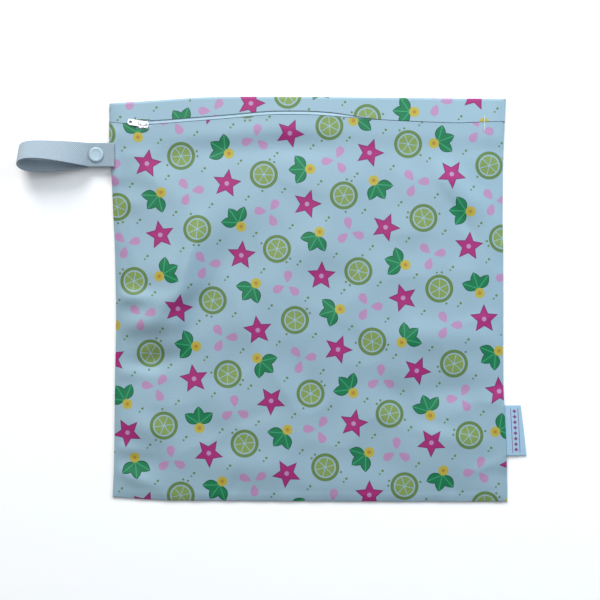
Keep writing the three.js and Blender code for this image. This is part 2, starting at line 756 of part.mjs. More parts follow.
const slider = new THREE.Group();
slider.position.set(sliderX, sliderY, 0);
slider.rotation.z = -radians(sliderTurn);
bag.add(slider);
addPiece(slider, "zip_slider", zipSlider(), finishes.metal);
const pull = addPiece(slider, "zip_pull", zipPull(), finishes.metal);
pull.position.z = zipTop + gap + pullWall / 2;
pull.rotation.z = -radians(pullTurn);

addPiece(bag, "strap", strap(), finishes.webbing);
const snap = new THREE.Group();
snap.position.set(snapX, strapY, 0);
bag.add(snap);
const coreFoot = lowerLayer + webbingWall / 2 + gap;
const prongThroughLower = webbingWall + 2 * gap + studBaseWall;
const prongThroughUpper = webbingWall + 2 * gap + (socketWall - studHeight - gap);
const topCap = addPiece(snap, "snap_cap", snapCap(prongThroughUpper), finishes.plastic);
topCap.position.z = upperLayer + webbingWall / 2 + gap + snapCapWall;
const socket = addPiece(snap, "snap_socket", snapSocket(), finishes.plastic);
socket.position.z = coreFoot + studBaseWall + gap;
const stud = addPiece(snap, "snap_stud", snapStud(), finishes.plastic);
stud.position.z = coreFoot;
const backCap = addPiece(snap, "snap_back_cap", snapCap(prongThroughLower), finishes.plastic);
backCap.rotation.x = Math.PI;

addPiece(bag, "side_label", sideLabel(), finishes.label);

// Moves the origin under the middle of everything.
const bounds = new THREE.Box3().setFromObject(bag);
const middle = bounds.getCenter(new THREE.Vector3());
bag.position.set(-middle.x, -middle.y, -bounds.min.z);

const wetBag = new THREE.Group();
wetBag.add(bag);
export default wetBag;
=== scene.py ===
"""A zip-up wet bag of thin printed cloth, lying on its back, with a snapped webbing strap and a woven label.

Shapes are worked out in millimetres in the bag's own frame, whose origin is the middle of the bag, with +Y
towards the zip and +Z up. place() moves them into the model's frame, in metres.
"""

import math
from functools import partialmethod

import bmesh
import bpy
import numpy as np
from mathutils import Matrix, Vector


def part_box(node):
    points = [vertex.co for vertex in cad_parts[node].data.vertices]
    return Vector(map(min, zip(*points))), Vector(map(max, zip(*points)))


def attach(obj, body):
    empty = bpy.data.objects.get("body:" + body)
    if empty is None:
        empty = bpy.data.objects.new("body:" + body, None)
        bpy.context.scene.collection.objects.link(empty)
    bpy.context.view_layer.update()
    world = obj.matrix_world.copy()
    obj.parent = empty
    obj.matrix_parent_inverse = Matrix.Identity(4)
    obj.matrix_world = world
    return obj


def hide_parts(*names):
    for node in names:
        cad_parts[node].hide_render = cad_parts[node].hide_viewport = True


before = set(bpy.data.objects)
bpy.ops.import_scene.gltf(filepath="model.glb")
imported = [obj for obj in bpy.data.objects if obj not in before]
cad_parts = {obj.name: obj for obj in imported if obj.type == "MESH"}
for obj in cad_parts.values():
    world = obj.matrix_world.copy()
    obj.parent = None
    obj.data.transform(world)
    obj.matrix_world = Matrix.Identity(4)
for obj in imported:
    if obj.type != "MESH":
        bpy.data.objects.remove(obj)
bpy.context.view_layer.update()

# Sizes of the bag, as its solids have them, apart from ZIP_SLOT and ZIP_ROUTE, which follow the photo closer
BAG_WIDTH, BAG_HEIGHT = 333, 340
CLOTH, GAP = 1, 0.3
LOFT, LOFT_REACH = 6.2, 17
CORNER_EASE, FOLD_FADE = 14, 8
LIFT_ROOM, LIFT_FADE = 7, 18
TAPE_WIDTH, TAPE = 10, 0.8
COIL_WIDTH, COIL_DEPTH, COIL_PITCH = 2.2, 1.3, 1.25
ZIP_SLOT, ZIP_SHOULDER = 3.2, 24
SLIDER_LENGTH, SLIDER_WIDTH, SLIDER_PLATE = 8.4, 6.4, 1
WEBBING_WIDTH, WEBBING = 20, 1.5
STRAP_REACH, STRAP_SEWN_IN, STRAP_OVERLAP, STRAP_SKEW = 74.6, 10, 4.5, 0.8
LOOP_HEIGHT, LOOP_TILT, LOOP_SAG, FLOOR_CLEARANCE = 16, 38, 1.65, 0.1
SNAP_INSET, SNAP_DIAMETER, SNAP_CAP = 10.6, 12.4, 1.2
SOCKET_DIAMETER, SOCKET, STUD_BASE, STUD_DIAMETER, STUD_HEIGHT, PRONG_DIAMETER = 9.4, 1.9, 0.8, 4.2, 1.3, 2
LABEL_WIDTH, LABEL_REACH, LABEL, LABEL_SEWN_IN, LABEL_DROOP = 42.4, 16.8, 1, 8, 0.8

SEAM_TOP = 2 * CLOTH + GAP
SLIDER_FLOOR = CLOTH + GAP
ZIP_TOP = SLIDER_FLOOR + SLIDER_PLATE + GAP + COIL_DEPTH + GAP + CLOTH
HALF_WIDTH, HALF_HEIGHT = BAG_WIDTH / 2, BAG_HEIGHT / 2

# Each seam and line: (how far along it, how far in from the bag's rectangle), as shares of the bag's sizes
LEFT_SEAM = [
    (0, 0.0068), (0.105, 0.0111), (0.286, 0.0131), (0.454, 0.0159), (0.619, 0.0131),
    (0.703, 0.0093), (0.82, 0.0035), (0.888, -0.0015), (1, 0),
]
RIGHT_SEAM = [
    (0, -0.0035), (0.125, -0.001), (0.242, 0.0048), (0.313, 0.0071), (0.62, 0.0071),
    (0.7, 0.0086), (0.846, 0.0071), (0.945, 0.0028), (1, 0),
]
BOTTOM_SEAM = [
    (0, 0.0119), (0.062, 0.0072), (0.134, 0.0032), (0.253, 0.0022), (0.48, 0.001), (0.73, 0.0003), (1, 0),
]
TOP_FOLD = [
    (0, 0.0156), (0.062, 0.0124), (0.134, 0.0077), (0.206, 0.0027), (0.278, 0), (0.48, 0), (0.77, 0.0027),
    (1, 0.0052),
]
ZIP_ROUTE = [
    (0, 0.0638), (0.044, 0.0672), (0.102, 0.0692), (0.205, 0.062), (0.3035, 0.0544), (0.399, 0.0462), (0.48, 0.0452),
    (0.528, 0.0467), (0.6235, 0.0537), (0.722, 0.0599), (0.818, 0.064), (0.882, 0.0658), (0.95, 0.0632), (1, 0.0619),
]
SLIDER_ACROSS, SLOT_NARROWS, SLOT_CLOSES, COIL_ENDS = 0.0867, 0.55, 0.69, 0.944
STRAP_UP, LABEL_UP, LABEL_TOP_SHARE = 0.8555, 0.176, 0.83

# Each fold in the front: across, up, turn in degrees, half length, half width, height as a share of the loft
FRONT_FOLDS = [
    (0.172, 0.545, 66, 0.15, 0.036, 0.38),
    (0.25, 0.52, 66, 0.14, 0.033, -0.2),
    (0.077, 0.446, 12, 0.07, 0.03, 0.3),
    (0.09, 0.33, 20, 0.09, 0.034, -0.26),
    (0.1, 0.8, -35, 0.07, 0.03, 0.18),
    (0.035, 0.735, 4, 0.05, 0.024, 0.2),
    (0.035, 0.515, -6, 0.045, 0.022, 0.2),
    (0.077, 0.185, -20, 0.08, 0.03, 0.22),
    (0.075, 0.105, -14, 0.08, 0.026, -0.15),
    (0.404, 0.882, 3, 0.24, 0.032, -0.18),
    (0.846, 0.407, -3, 0.16, 0.042, 0.32),
    (0.871, 0.276, 2, 0.13, 0.036, -0.24),
    (0.871, 0.155, -4, 0.12, 0.034, 0.18),
    (0.889, 0.76, -48, 0.12, 0.034, 0.22),
    (0.965, 0.84, -10, 0.05, 0.024, 0.17),
    (0.384, 0.086, 0, 0.16, 0.04, 0.16),
    (0.5, 0.62, 30, 0.12, 0.05, 0.1),
    (0.66, 0.66, 80, 0.12, 0.045, -0.1),
    (0.6, 0.27, 60, 0.13, 0.045, -0.11),
]

# Each stop of the loop: how far out, then shares of its height, of half its height, and of its lean
LOOP_SHAPE = [
    (0.155, 0.46, 0.46, 0.22),
    (0.284, 0.667, 0.667, 0.5),
    (0.426, 0.854, 0.854, 0.7),
    (0.58, 0.969, 0.969, 0.87),
    (0.73, 1, 1, 0.97),
    (0.84, 0.96, 1.02, 1),
    (0.925, 0.8, 1.04, 1),
    (0.98, 0.46, 1.05, 1),
]

# Folds that only show here, in the same columns: small dents at the seams and creases between the main folds
SMALL_FOLDS = [
    (0.2, 0.6, 74, 0.13, 0.02, 0.26),
    (0.165, 0.415, 76, 0.1, 0.022, 0.34),
    (0.105, 0.437, 5, 0.1, 0.028, 0.42),
    (0.155, 0.511, 27, 0.075, 0.03, 0.24),
    (0.215, 0.439, 27, 0.07, 0.028, -0.2),
    (0.12, 0.352, 8, 0.09, 0.026, -0.3),
    (0.03, 0.503, 3, 0.06, 0.017, 0.34),
    (0.05, 0.318, -4, 0.07, 0.02, 0.36),
    (0.03, 0.132, -8, 0.055, 0.017, 0.3),
    (0.05, 0.064, -22, 0.07, 0.016, 0.28),
    (0.08, 0.855, 5, 0.06, 0.018, 0.14),
    (0.887, 0.699, -53, 0.1, 0.014, -0.12),
    (0.7255, 0.259, -40, 0.09, 0.03, -0.16),
    (0.9706, 0.246, 0, 0.04, 0.012, 0.12),
    (0.955, 0.455, 12, 0.06, 0.014, 0.12),
    (0.82, 0.17, -12, 0.1, 0.02, 0.12),
    (0.955, 0.09, 24, 0.05, 0.013, 0.12),
    (0.3, 0.34, 82, 0.06, 0.014, -0.09),
    (0.485, 0.345, 68, 0.05, 0.015, -0.09),
    (0.66, 0.83, 84, 0.07, 0.014, -0.09),
    (0.56, 0.46, -24, 0.1, 0.02, 0.08),
    (0.36, 0.21, 18, 0.12, 0.018, -0.08),
    (0.44, 0.7, -60, 0.1, 0.02, 0.08),
    (0.32, 0.045, 70, 0.035, 0.012, -0.12),
    (0.86, 0.04, 80, 0.04, 0.013, -0.12),
    (0.12, 0.565, 4, 0.14, 0.05, 0.34),
    (0.14, 0.335, 6, 0.14, 0.075, -0.34),
    (0.161, 0.494, 35, 0.06, 0.024, 0.42),
    (0.06, 0.497, 3, 0.075, 0.022, 0.32),
    (0.238, 0.662, 63, 0.12, 0.055, 0.42),
]

# Sizes that only show here
THIN = 0.6  # the cloth's own thickness, where its solid is a thicker wall
FOLD_DEPTH = 1.2  # the main folds' height here, over their height in the solid
SEAM_FLATTENED = 6  # how far the seams' flatness reaches into the front
SEAM_ROLL = 1.1  # how far in from a seam the cloth turns down to meet the back, for each mm that it turns down
TAPE_STOPS, TAPE_RISE = 2.4, 0.4  # how far the tapes end inside the seams, and rise past the slider
ZIP_SAG, BOTTOM_SAG = 4.2, 8  # how much lower the cloth hangs below the zip and above the bottom seam
ZIP_SAG_REACH, BOTTOM_SAG_REACHES = 60, (90, 26)
BAND_DROP = 1.5  # how much flatter the top fold lies than the solid's
BED_SLOPE = 2.2  # how far beside the strap and the label the cloth slopes down to the back
PRINT_SHIFT = 3  # the range of a motif's random shift
ALLOWANCE, ALLOWANCE_HEIGHT = 6.8, 0.3  # the spare cloth inside a seam, and how far it lifts the front
PUCKER, PUCKER_REACH = 0.36, 11
CRINKLE, CRUMPLE = 0.34, 0.4
CORDS, FLOAT = 24, 1.9  # the webbing's lengthwise cords, and the length of one float of its weave
PRINT_PITCH, PRINT_TURN = 31.0, 12

# Small sums


def smooth(start, end, value):
    """0 before the start, 1 after the end, and 3t^2 - 2t^3 between them."""
    t = np.clip((value - start) / (end - start), 0, 1)
    return t * t * (3 - 2 * t)


def ease_in(distance, reach):
    """1 - e^(-distance / reach): 0 at a seam, and nearly 1 a few reaches in from it."""
    return 1 - np.exp(-np.maximum(distance, 0) / reach)


def mix(a, b, share):
    """The point that lies a share of the way from a to b."""
    return a + (b - a) * share


def follow(rows, place):
    """A smooth curve through rows of (place, value): cubic Hermite pieces, whose slope at a row is that of
    the line from the row before it to the row after it."""
    keys, values = np.array(rows, float).T
    last = len(keys) - 1
    before, after = np.maximum(np.arange(last + 1) - 1, 0), np.minimum(np.arange(last + 1) + 1, last)
    slopes = (values[after] - values[before]) / (keys[after] - keys[before])
    at = np.clip(place, keys[0], keys[-1])
    k = np.clip(np.searchsorted(keys, at, side="right") - 1, 0, last - 1)
    width = keys[k + 1] - keys[k]
    t = (at - keys[k]) / width
    ends = (2 * t**3 - 3 * t**2 + 1) * values[k] + (3 * t**2 - 2 * t**3) * values[k + 1]
    return ends + width * ((t**3 - 2 * t**2 + t) * slopes[k] + (t**3 - t**2) * slopes[k + 1])


def ripples(seed, count, shortest, longest, x, y):
    """Soft random ripples of about +-1: a sum of plane waves with random headings and phases, whose lengths
    run from the shortest to the longest, and whose heights are as their lengths."""
    random = np.random.default_rng(seed)
    lengths = shortest * (longest / shortest) ** random.uniform(0, 1, count)
    headings = random.uniform(0, math.tau, count)
    phases = random.uniform(0, math.tau, count)
    total = np.zeros(np.broadcast(x, y).shape)
    for length, heading, phase in zip(lengths, headings, phases):
        along = x * math.cos(heading) + y * math.sin(heading)
        total += length * np.sin(math.tau * along / length + phase)
    return total / math.sqrt(0.5 * np.sum(lengths**2))


def spaced(length, step, start=(), end=()):
    """Places from 0 to a length: the given distances from its start, even steps, and the given distances
    from its end, as shares of the length."""
    low, high = (start[-1] if start else 0), length - (end[-1] if end else 0)
    even = np.linspace(low, high, max(2, round((high - low) / step) + 1))
    inner_start, inner_end = np.array(start[:-1]), length - np.array(end[:-1])[::-1]
    return np.concatenate([inner_start, even, inner_end]) / length


ROLL = (0, 0.03, 0.1, 0.2, 0.33, 0.7, 1.3, 2.2, 3.4)  # distances in from a rolled edge
UP = np.array([0.0, 0.0, 1.0])

# The bag's outline and the zip's line


def left_edge(y):
    return -HALF_WIDTH + BAG_WIDTH * follow(LEFT_SEAM, y / BAG_HEIGHT + 0.5)


def right_edge(y):
    return HALF_WIDTH - BAG_WIDTH * follow(RIGHT_SEAM, y / BAG_HEIGHT + 0.5)


def bottom_edge(x):
    return -HALF_HEIGHT + BAG_HEIGHT * follow(BOTTOM_SEAM, x / BAG_WIDTH + 0.5)


def top_edge(x):
    return HALF_HEIGHT - BAG_HEIGHT * follow(TOP_FOLD, x / BAG_WIDTH + 0.5)


def zip_line(x):
    return HALF_HEIGHT - BAG_HEIGHT * follow(ZIP_ROUTE, x / BAG_WIDTH + 0.5)


SLIDER_X, COIL_END = BAG_WIDTH * (SLIDER_ACROSS - 0.5), BAG_WIDTH * (COIL_ENDS - 0.5)
STRAP_Y = BAG_HEIGHT * (STRAP_UP - 0.5)
STRAP_X = float(left_edge(STRAP_Y))
LABEL_Y = BAG_HEIGHT * (LABEL_UP - 0.5)
SNAP_X = STRAP_X - SNAP_INSET

# From the bag's own frame to the model's, by the back's lowest right-hand corner
back_low, back_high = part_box("back_panel")
SHIFT = np.array([back_high.x * 1000 - float(right_edge(-HALF_HEIGHT)), back_low.y * 1000 + HALF_HEIGHT, 0])


def place(points):
    """From millimetres in the bag's frame to metres in the model's."""
    return (np.asarray(points, float) + SHIFT) / 1000


def across_bag(share, y):
    """The x that lies a share of the way from the left seam to the right one."""
    return mix(left_edge(y), right_edge(y), share)


def in_from_seam(x, y):
    return np.minimum(x - left_edge(y), right_edge(y) - x)


def zip_height(x, y):
    """The cloth over the zip and along the top fold: level, but lower where the side seams press it flat."""
    return mix(SEAM_TOP + TAPE + GAP, ZIP_TOP, smooth(0, CORNER_EASE, in_from_seam(x, y)))


def fold_middle(x):
    """The y of the middle of the half circle that the top fold makes."""
    return top_edge(x) - zip_height(x, HALF_HEIGHT) / 2


def slider_slot(x):
    beyond = smooth(SLIDER_LENGTH / 2 + GAP, SLIDER_LENGTH, np.abs(x - SLIDER_X))
    return mix(SLIDER_WIDTH / 2 + 2 * GAP, GAP / 2, beyond)


def upper_lip(x):
    """The upper cloth's edge: it leaves a strip of tape bare, which closes towards the right. The strip and
    the slider's slot join as the fourth root of the sum of their fourth powers."""
    bare = mix(ZIP_SLOT, GAP / 2, smooth(SLOT_NARROWS, SLOT_CLOSES, x / BAG_WIDTH + 0.5)) * smooth(0, 5, x - SLIDER_X)
    return zip_line(x) + (bare**4 + slider_slot(x) ** 4) ** 0.25


def lower_lip(x):
    return zip_line(x) - np.maximum(slider_slot(x), GAP / 2)


def from_seams(x, y):
    """How far in a place lies from the nearest of the two side seams and the bottom one."""
    return np.minimum(in_from_seam(x, y), y - bottom_edge(x))


def beside(y, middle, width):
    """1 beside a strip that is sewn into a side seam, and 0 from LIFT_FADE away from it."""
    return smooth(width / 2 + LIFT_FADE, width / 2 + LIFT_ROOM, np.abs(y - middle))


def sewn_lift(x, y):
    """The front is lifted by the strap's and the label's thickness where they are sewn in, and the lift dies
    away e-fold over CORNER_EASE."""
    by_strap, by_label = beside(y, STRAP_Y, WEBBING_WIDTH), beside(y, LABEL_Y, LABEL_WIDTH)
    strap_side = np.exp(-np.maximum(x - left_edge(y), 0) / CORNER_EASE)
    label_side = np.exp(-np.maximum(right_edge(y) - x, 0) / CORNER_EASE)
    return (WEBBING + GAP) * by_strap * strap_side + (LABEL + GAP) * by_label * label_side


def fold_relief(x, y, table=FRONT_FOLDS):
    """The sum of a table's folds: each is height * e^(-(along / half length)^2 - (over / half width)^2), and all
    die away at the seams."""
    total = np.zeros(np.broadcast(x, y).shape)
    for across, up, turn, half_long, half_wide, height in table:
        dx, dy = x - BAG_WIDTH * (across - 0.5), y - BAG_HEIGHT * (up - 0.5)
        c, s = math.cos(math.radians(turn)), math.sin(math.radians(turn))
        along = (dx * c + dy * s) / (half_long * BAG_WIDTH)
        over = (dy * c - dx * s) / (half_wide * BAG_WIDTH)
        total += height * LOFT * np.exp(-along * along - over * over)
    return total * ease_in(in_from_seam(x, y), FOLD_FADE) * ease_in(y - bottom_edge(x), FOLD_FADE)


def front_height(x, y):
    """The front's upper side: a pillow that rises e-fold from each seam, with its folds, blended into the
    level cloth that the stiff zip holds up."""
    sides = ease_in(x - left_edge(y), LOFT_REACH) * ease_in(right_edge(y) - x, LOFT_REACH)
    panel = SEAM_TOP + LOFT * sides * ease_in(y - bottom_edge(x), LOFT_REACH) + fold_relief(x, y)
    below = zip_line(x) - y
    return mix(zip_height(x, y), panel, smooth(TAPE_WIDTH, TAPE_WIDTH + ZIP_SHOULDER, below)) + sewn_lift(x, y)


def pucker(x, y):
    """The seams' small waves, 0 or higher, dying away e-fold over PUCKER_REACH from the nearest seam."""
    from_seam = from_seams(x, y)
    waves = 0.5 + 0.5 * np.clip(0.6 * ripples(4, 14, 9, 26, x, y), -1, 1)
    return PUCKER * waves * np.exp(-np.maximum(from_seam, 0) / PUCKER_REACH)


def sewn_in(x, y):
    """1 beside the strap, the label and the zip, where more layers lie in the seam, and 0 elsewhere."""
    by_strap, by_label = beside(y, STRAP_Y, WEBBING_WIDTH), beside(y, LABEL_Y, LABEL_WIDTH)
    by_zip = smooth(TAPE_WIDTH + 16, TAPE_WIDTH, zip_line(x) - y)
    return np.maximum(by_zip, np.where(x < 0, by_strap, by_label))


def band_drop(x, y):
    """The band slopes down from the zip to the fold, which lies flatter than the solid's, away from the seams."""
    share = np.clip((y - zip_line(x)) / (fold_middle(x) - zip_line(x)), 0, 1)
    return BAND_DROP * share * smooth(0, CORNER_EASE, in_from_seam(x, y))


def seam_drop(x, y):
    """The front is pressed down at its seams until the two thin cloths meet, and the drop dies away e-fold."""
    from_seam = from_seams(x, y)
    return (SEAM_TOP - 2 * THIN) * np.exp(-np.maximum(from_seam, 0) / SEAM_FLATTENED) * (1 - sewn_in(x, y))


def hanging(x, y):
    """The cloth hangs lower than its solid below the zip, and above the bottom seam, by a difference of two
    exponentials that is 0 at the seam."""
    below, above = zip_line(x) - y, y - bottom_edge(x)
    past_tape = smooth(TAPE_WIDTH, TAPE_WIDTH + ZIP_SHOULDER, below)
    by_zip = ZIP_SAG * np.exp(-np.maximum(below, 0) / ZIP_SAG_REACH) * past_tape
    far, near = (np.exp(-np.maximum(above, 0) / reach) for reach in BOTTOM_SAG_REACHES)
    by_bottom = BOTTOM_SAG * (far - near)
    return (by_zip + by_bottom) * ease_in(in_from_seam(x, y), LOFT_REACH)


def seam_bed(x, y):
    """The height of what the front rests on at a seam: the back, or the strap or the label that is sewn in
    there, each with a short slope beside it."""

    def layer(top, centre, half):
        return top * smooth(half + BED_SLOPE, half + 0.2, np.abs(y - centre))

    strap = layer(CLOTH + GAP + WEBBING, STRAP_Y + STRAP_SKEW, WEBBING_WIDTH / 2)
    label = layer(CLOTH + GAP + LABEL, LABEL_Y, LABEL_WIDTH / 2)
    return np.maximum(np.where(x < 0, strap, label), THIN + pucker(x, y))


def turned_down(x, y, z, from_seam):
    """At a seam the cloth's middle turns down to its bed in a quarter of an ellipse, which is as wide as
    SEAM_ROLL times the way down."""
    bed = np.minimum(seam_bed(x, y) + THIN / 2 + 0.03, z)
    share = 1 - np.clip(from_seam / (0.4 + SEAM_ROLL * (z - bed)), 0, 1)
    return mix(bed, z, np.sqrt(1 - share * share))


def zip_swell(x, y):
    """Below the zip the front swells, 12 mm from the line, then dips at 30 mm from it: strongest left of the
    middle, and nothing at the slider."""
    below, across = zip_line(x) - y, x / BAG_WIDTH + 0.5
    swell = 1.2 * np.exp(-(((below - 12) / 8) ** 2)) - 0.9 * np.exp(-(((below - 30) / 10) ** 2))
    left_of_middle = 0.3 + 0.7 * np.exp(-(((across - 0.36) / 0.18) ** 2))
    return swell * left_of_middle * smooth(0.1, 0.2, across) * smooth(1, 0.94, across)


def front_detail(x, y):
    """What the thin cloth adds to the panel's form: the spare cloth inside its seams, puckers, small folds,
    soft crinkles, and crumples, which are creased where their ripples pass 0."""
    from_seam = from_seams(x, y)
    inside = ease_in(from_seam, 10) * smooth(TAPE_WIDTH - 2, TAPE_WIDTH + ZIP_SHOULDER, zip_line(x) - y)
    spare = ALLOWANCE_HEIGHT * smooth(ALLOWANCE + 0.9, ALLOWANCE - 0.5, from_seam)
    crumple = 0.8 - np.sqrt(ripples(23, 14, 45, 130, x, y) ** 2 + 0.01)
    soft = CRINKLE * ripples(11, 26, 26, 95, x, y) + CRUMPLE * crumple
    folds = (FOLD_DEPTH - 1) * fold_relief(x, y) + fold_relief(x, y, SMALL_FOLDS)
    return spare + pucker(x, y) + folds + soft * inside + zip_swell(x, y) - seam_drop(x, y) - hanging(x, y)


# Meshes


def make_piece(name, points, faces, finish, body="bag", uv=None):
    """A piece from an array of points in millimetres in the bag's frame, a list of face arrays, and a UV in
    metres for each point. The faces are turned round together if the volume they close is negative."""
    points = place(points)
    triangles = np.concatenate([f[:, [0, k, k + 1]] for f in faces for k in range(1, f.shape[1] - 1)])
    a, b, c = (points[triangles[:, k]] for k in range(3))
    if np.einsum("ij,ij->i", a, np.cross(b, c)).sum() < 0:
        faces = [f[:, ::-1] for f in faces]
    corners = np.concatenate([f.ravel() for f in faces])
    sizes = np.concatenate([np.full(len(f), f.shape[1]) for f in faces])
    mesh = bpy.data.meshes.new(name)
    mesh.vertices.add(len(points))
    mesh.vertices.foreach_set("co", points.astype(np.float32).ravel())
    mesh.loops.add(len(corners))
    mesh.loops.foreach_set("vertex_index", corners.astype(np.int32))
    mesh.polygons.add(len(sizes))
    mesh.polygons.foreach_set("loop_start", (np.cumsum(sizes) - sizes).astype(np.int32))
    mesh.polygons.foreach_set("use_smooth", np.ones(len(sizes), bool))
    if uv is not None:
        layer = mesh.uv_layers.new(name="cloth")
        layer.data.foreach_set("uv", np.asarray(uv, np.float32)[corners].ravel())
    mesh.update(calc_edges=True)
    mesh.validate()
    piece = bpy.data.objects.new(name, mesh)
    bpy.context.collection.objects.link(piece)
    mesh.materials.append(finish)
    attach(piece, body)
    return piece


def grid_faces(rows, columns, index=None):
    """The quads of a grid of points, as an array of four point numbers each."""
    at = np.arange(rows * columns).reshape(rows, columns) if index is None else index
    return np.stack([at[:-1, :-1], at[:-1, 1:], at[1:, 1:], at[1:, :-1]], axis=-1).reshape(-1, 4)


def grid(*parts):
    """Arrays over the same rows and columns, such as x, y and z, as one array."""
    return np.stack(np.broadcast_arrays(*parts), axis=-1)


def closed_cloth(name, node, middle, half, place_mm, finish, slot, normal=UP, **facts):
    """A sheet of cloth in a solid's place. It has two sides: a grid of points at its middle, moved along the
    normal by plus and minus half its thickness. Half is made 0 all round the rim, where the two sides share
    their points."""
    rows, columns = half.shape
    half[[0, -1]], half[:, [0, -1]] = 0, 0
    uv = place_mm / 1000
    over = middle + normal * half[..., None]
    under = middle - normal * half[..., None]
    inner = np.zeros((rows, columns), bool)
    inner[1:-1, 1:-1] = True
    top = np.arange(rows * columns).reshape(rows, columns)
    bottom = np.where(inner, rows * columns + np.cumsum(inner).reshape(rows, columns) - 1, top)
    points = np.concatenate([over.reshape(-1, 3), under[inner]])
    places = np.concatenate([uv.reshape(-1, 2), uv[inner]])
    faces = [grid_faces(rows, columns, top), grid_faces(rows, columns, bottom)[:, ::-1]]
    piece = make_piece(name, points, faces, finish, uv=places)
    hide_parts(node)


def rolled(distance, thickness):
    """Half the thickness of cloth with a round edge: a half circle that starts at the rim."""
    radius = thickness / 2
    t = 1 - np.clip(distance / radius, 0, 1)
    return radius * np.sqrt(1 - t * t)


def turned_piece(name, profile, centre, finish, replaces, sides=72):
    """A profile of (radius, height) rows, turned about the upright line through the centre. Rows on the
    line itself become one point each."""
    profile = np.asarray(profile, float)
    angles = np.linspace(0, math.tau, sides, endpoint=False)
    ring = np.stack([np.cos(angles), np.sin(angles)], axis=-1)
    on_axis = profile[:, 0] < 1e-9
    points, index = [], np.zeros((len(profile), sides), int)
    count = 0
    for i, (radius, height) in enumerate(profile):
        here = ring[:1] * 0 if on_axis[i] else ring * radius
        points.append(np.column_stack([here, np.full(len(here), height)]))
        index[i] = count if on_axis[i] else count + np.arange(sides)
        count += len(here)
    index = np.column_stack([index, index[:, :1]])
    quads = grid_faces(*index.shape, index).reshape(len(profile) - 1, sides, 4)
    whole = ~(on_axis[:-1] | on_axis[1:])
    faces = [quads[whole].reshape(-1, 4)]
    faces += [q[:, [0, 2, 3]] for q, low in zip(quads, on_axis[:-1]) if low]
    faces += [q[:, [0, 1, 2]] for q, high in zip(quads, on_axis[1:]) if high]
    if not (on_axis[0] and on_axis[-1]):
        closing = np.stack([index[-1, :-1], index[-1, 1:], index[0, 1:], index[0, :-1]], axis=-1)
        faces.append(closing)
    piece = make_piece(name, np.concatenate(points) + centre, faces, finish)
    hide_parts(replaces)


def rounded(profile, radius, closed=False, steps=4):
    """A profile whose corners are softened: each becomes a quadratic curve that leaves its two sides a
    radius away from the corner, or half a side away where the side is short."""
    corners = np.asarray(profile, float)
    out = []
    last = len(corners)
    for i, corner in enumerate(corners):
        if not closed and i in (0, last - 1):
            out.append(corner[None])
            continue
        ends = []
        for other in (corners[i - 1], corners[(i + 1) % last]):
            side = np.linalg.norm(other - corner)
            ends.append(corner + (other - corner) * min(radius / side, 0.45))
        t = np.linspace(0, 1, steps + 1)[:, None]
        out.append((1 - t) ** 2 * ends[0] + 2 * t * (1 - t) * corner + t**2 * ends[1])
    return np.concatenate(out)


def strewn(name, shape, faces, frames, finish):
    """One small shape at many places: each frame is a 3 x 4 matrix, whose first three columns turn the
    shape's points and whose last one moves them."""
    shape, frames = np.asarray(shape, float), np.asarray(frames, float)
    points = np.einsum("nij,pj->npi", frames[:, :, :3], shape) + frames[:, None, :, 3]
    starts = np.arange(len(frames))[:, None, None] * len(shape)
    faces = [(f + starts).reshape(-1, f.shape[1]) for f in faces]
    make_piece(name, points.reshape(-1, 3), faces, finish)


def threads(x, y, z, cosine, sine):
    """Frames for level threads at the places given, whose headings have the cosine and the sine given."""
    frames = np.zeros((len(x), 3, 4))
    frames[:, 0, 0], frames[:, 1, 0] = cosine, sine
    frames[:, 0, 1], frames[:, 1, 1] = -sine, cosine
    frames[:, 2, 2] = 1
    frames[:, :, 3] = grid(x, y, z)
    return frames


def capsule(length, radius, sides=6, rings=7):
    """A short thread: circles along X whose radius is that of an ellipse raised to a half, closed by a
    point at each end."""
    t = np.linspace(-1, 1, rings + 2)[1:-1]
    angles = np.linspace(0, math.tau, sides, endpoint=False)
    x = np.repeat(t * length / 2, sides)
    r = np.repeat(radius * np.sqrt(np.sqrt(1 - t**2)), sides)
    around = np.tile(angles, rings)
    points = np.column_stack([x, r * np.cos(around), r * np.sin(around)])
    points = np.concatenate([points, [[-length / 2, 0, 0], [length / 2, 0, 0]]])
    index = np.arange(rings * sides).reshape(rings, sides)
    index = np.column_stack([index, index[:, :1]])
    near = np.stack([index[0, 1:], index[0, :-1], np.full(sides, rings * sides)], axis=-1)
    far = np.stack([index[-1, :-1], index[-1, 1:], np.full(sides, rings * sides + 1)], axis=-1)
    return points, [grid_faces(*index.shape, index), near, far]


def softened_node(node, name, width, finish, body):
    """A hard piece with the same shape as its solid, whose sharp edges are rounded by a small bevel."""
    work = bmesh.new()
    work.from_mesh(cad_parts[node].data)
    bmesh.ops.remove_doubles(work, verts=work.verts, dist=2e-6)
    bmesh.ops.dissolve_limit(work, angle_limit=math.radians(1), verts=work.verts, edges=work.edges)
    mesh = bpy.data.meshes.new(name)
    work.to_mesh(mesh)
    work.free()
    mesh.materials.clear()
    mesh.materials.append(finish)
    mesh.polygons.foreach_set("use_smooth", np.ones(len(mesh.polygons), bool))
    piece = bpy.data.objects.new(name, mesh)
    bpy.context.collection.objects.link(piece)
    bevel = piece.modifiers.new("edges", "BEVEL")
    bevel.width, bevel.segments, bevel.limit_method = width / 1000, 3, "ANGLE"
    bevel.angle_limit = math.radians(25)
    piece.modifiers.new("normals", "WEIGHTED_NORMAL")
    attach(piece, body)
    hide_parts(node)


# Materials


def tint(red, green, blue):
    """A screen colour of 0 to 255, as the linear red, green, blue and alpha that a shader takes."""
    c = np.array([red, green, blue]) / 255
    return (*np.where(c <= 0.04045, c / 12.92, ((c + 0.055) / 1.055) ** 2.4), 1)


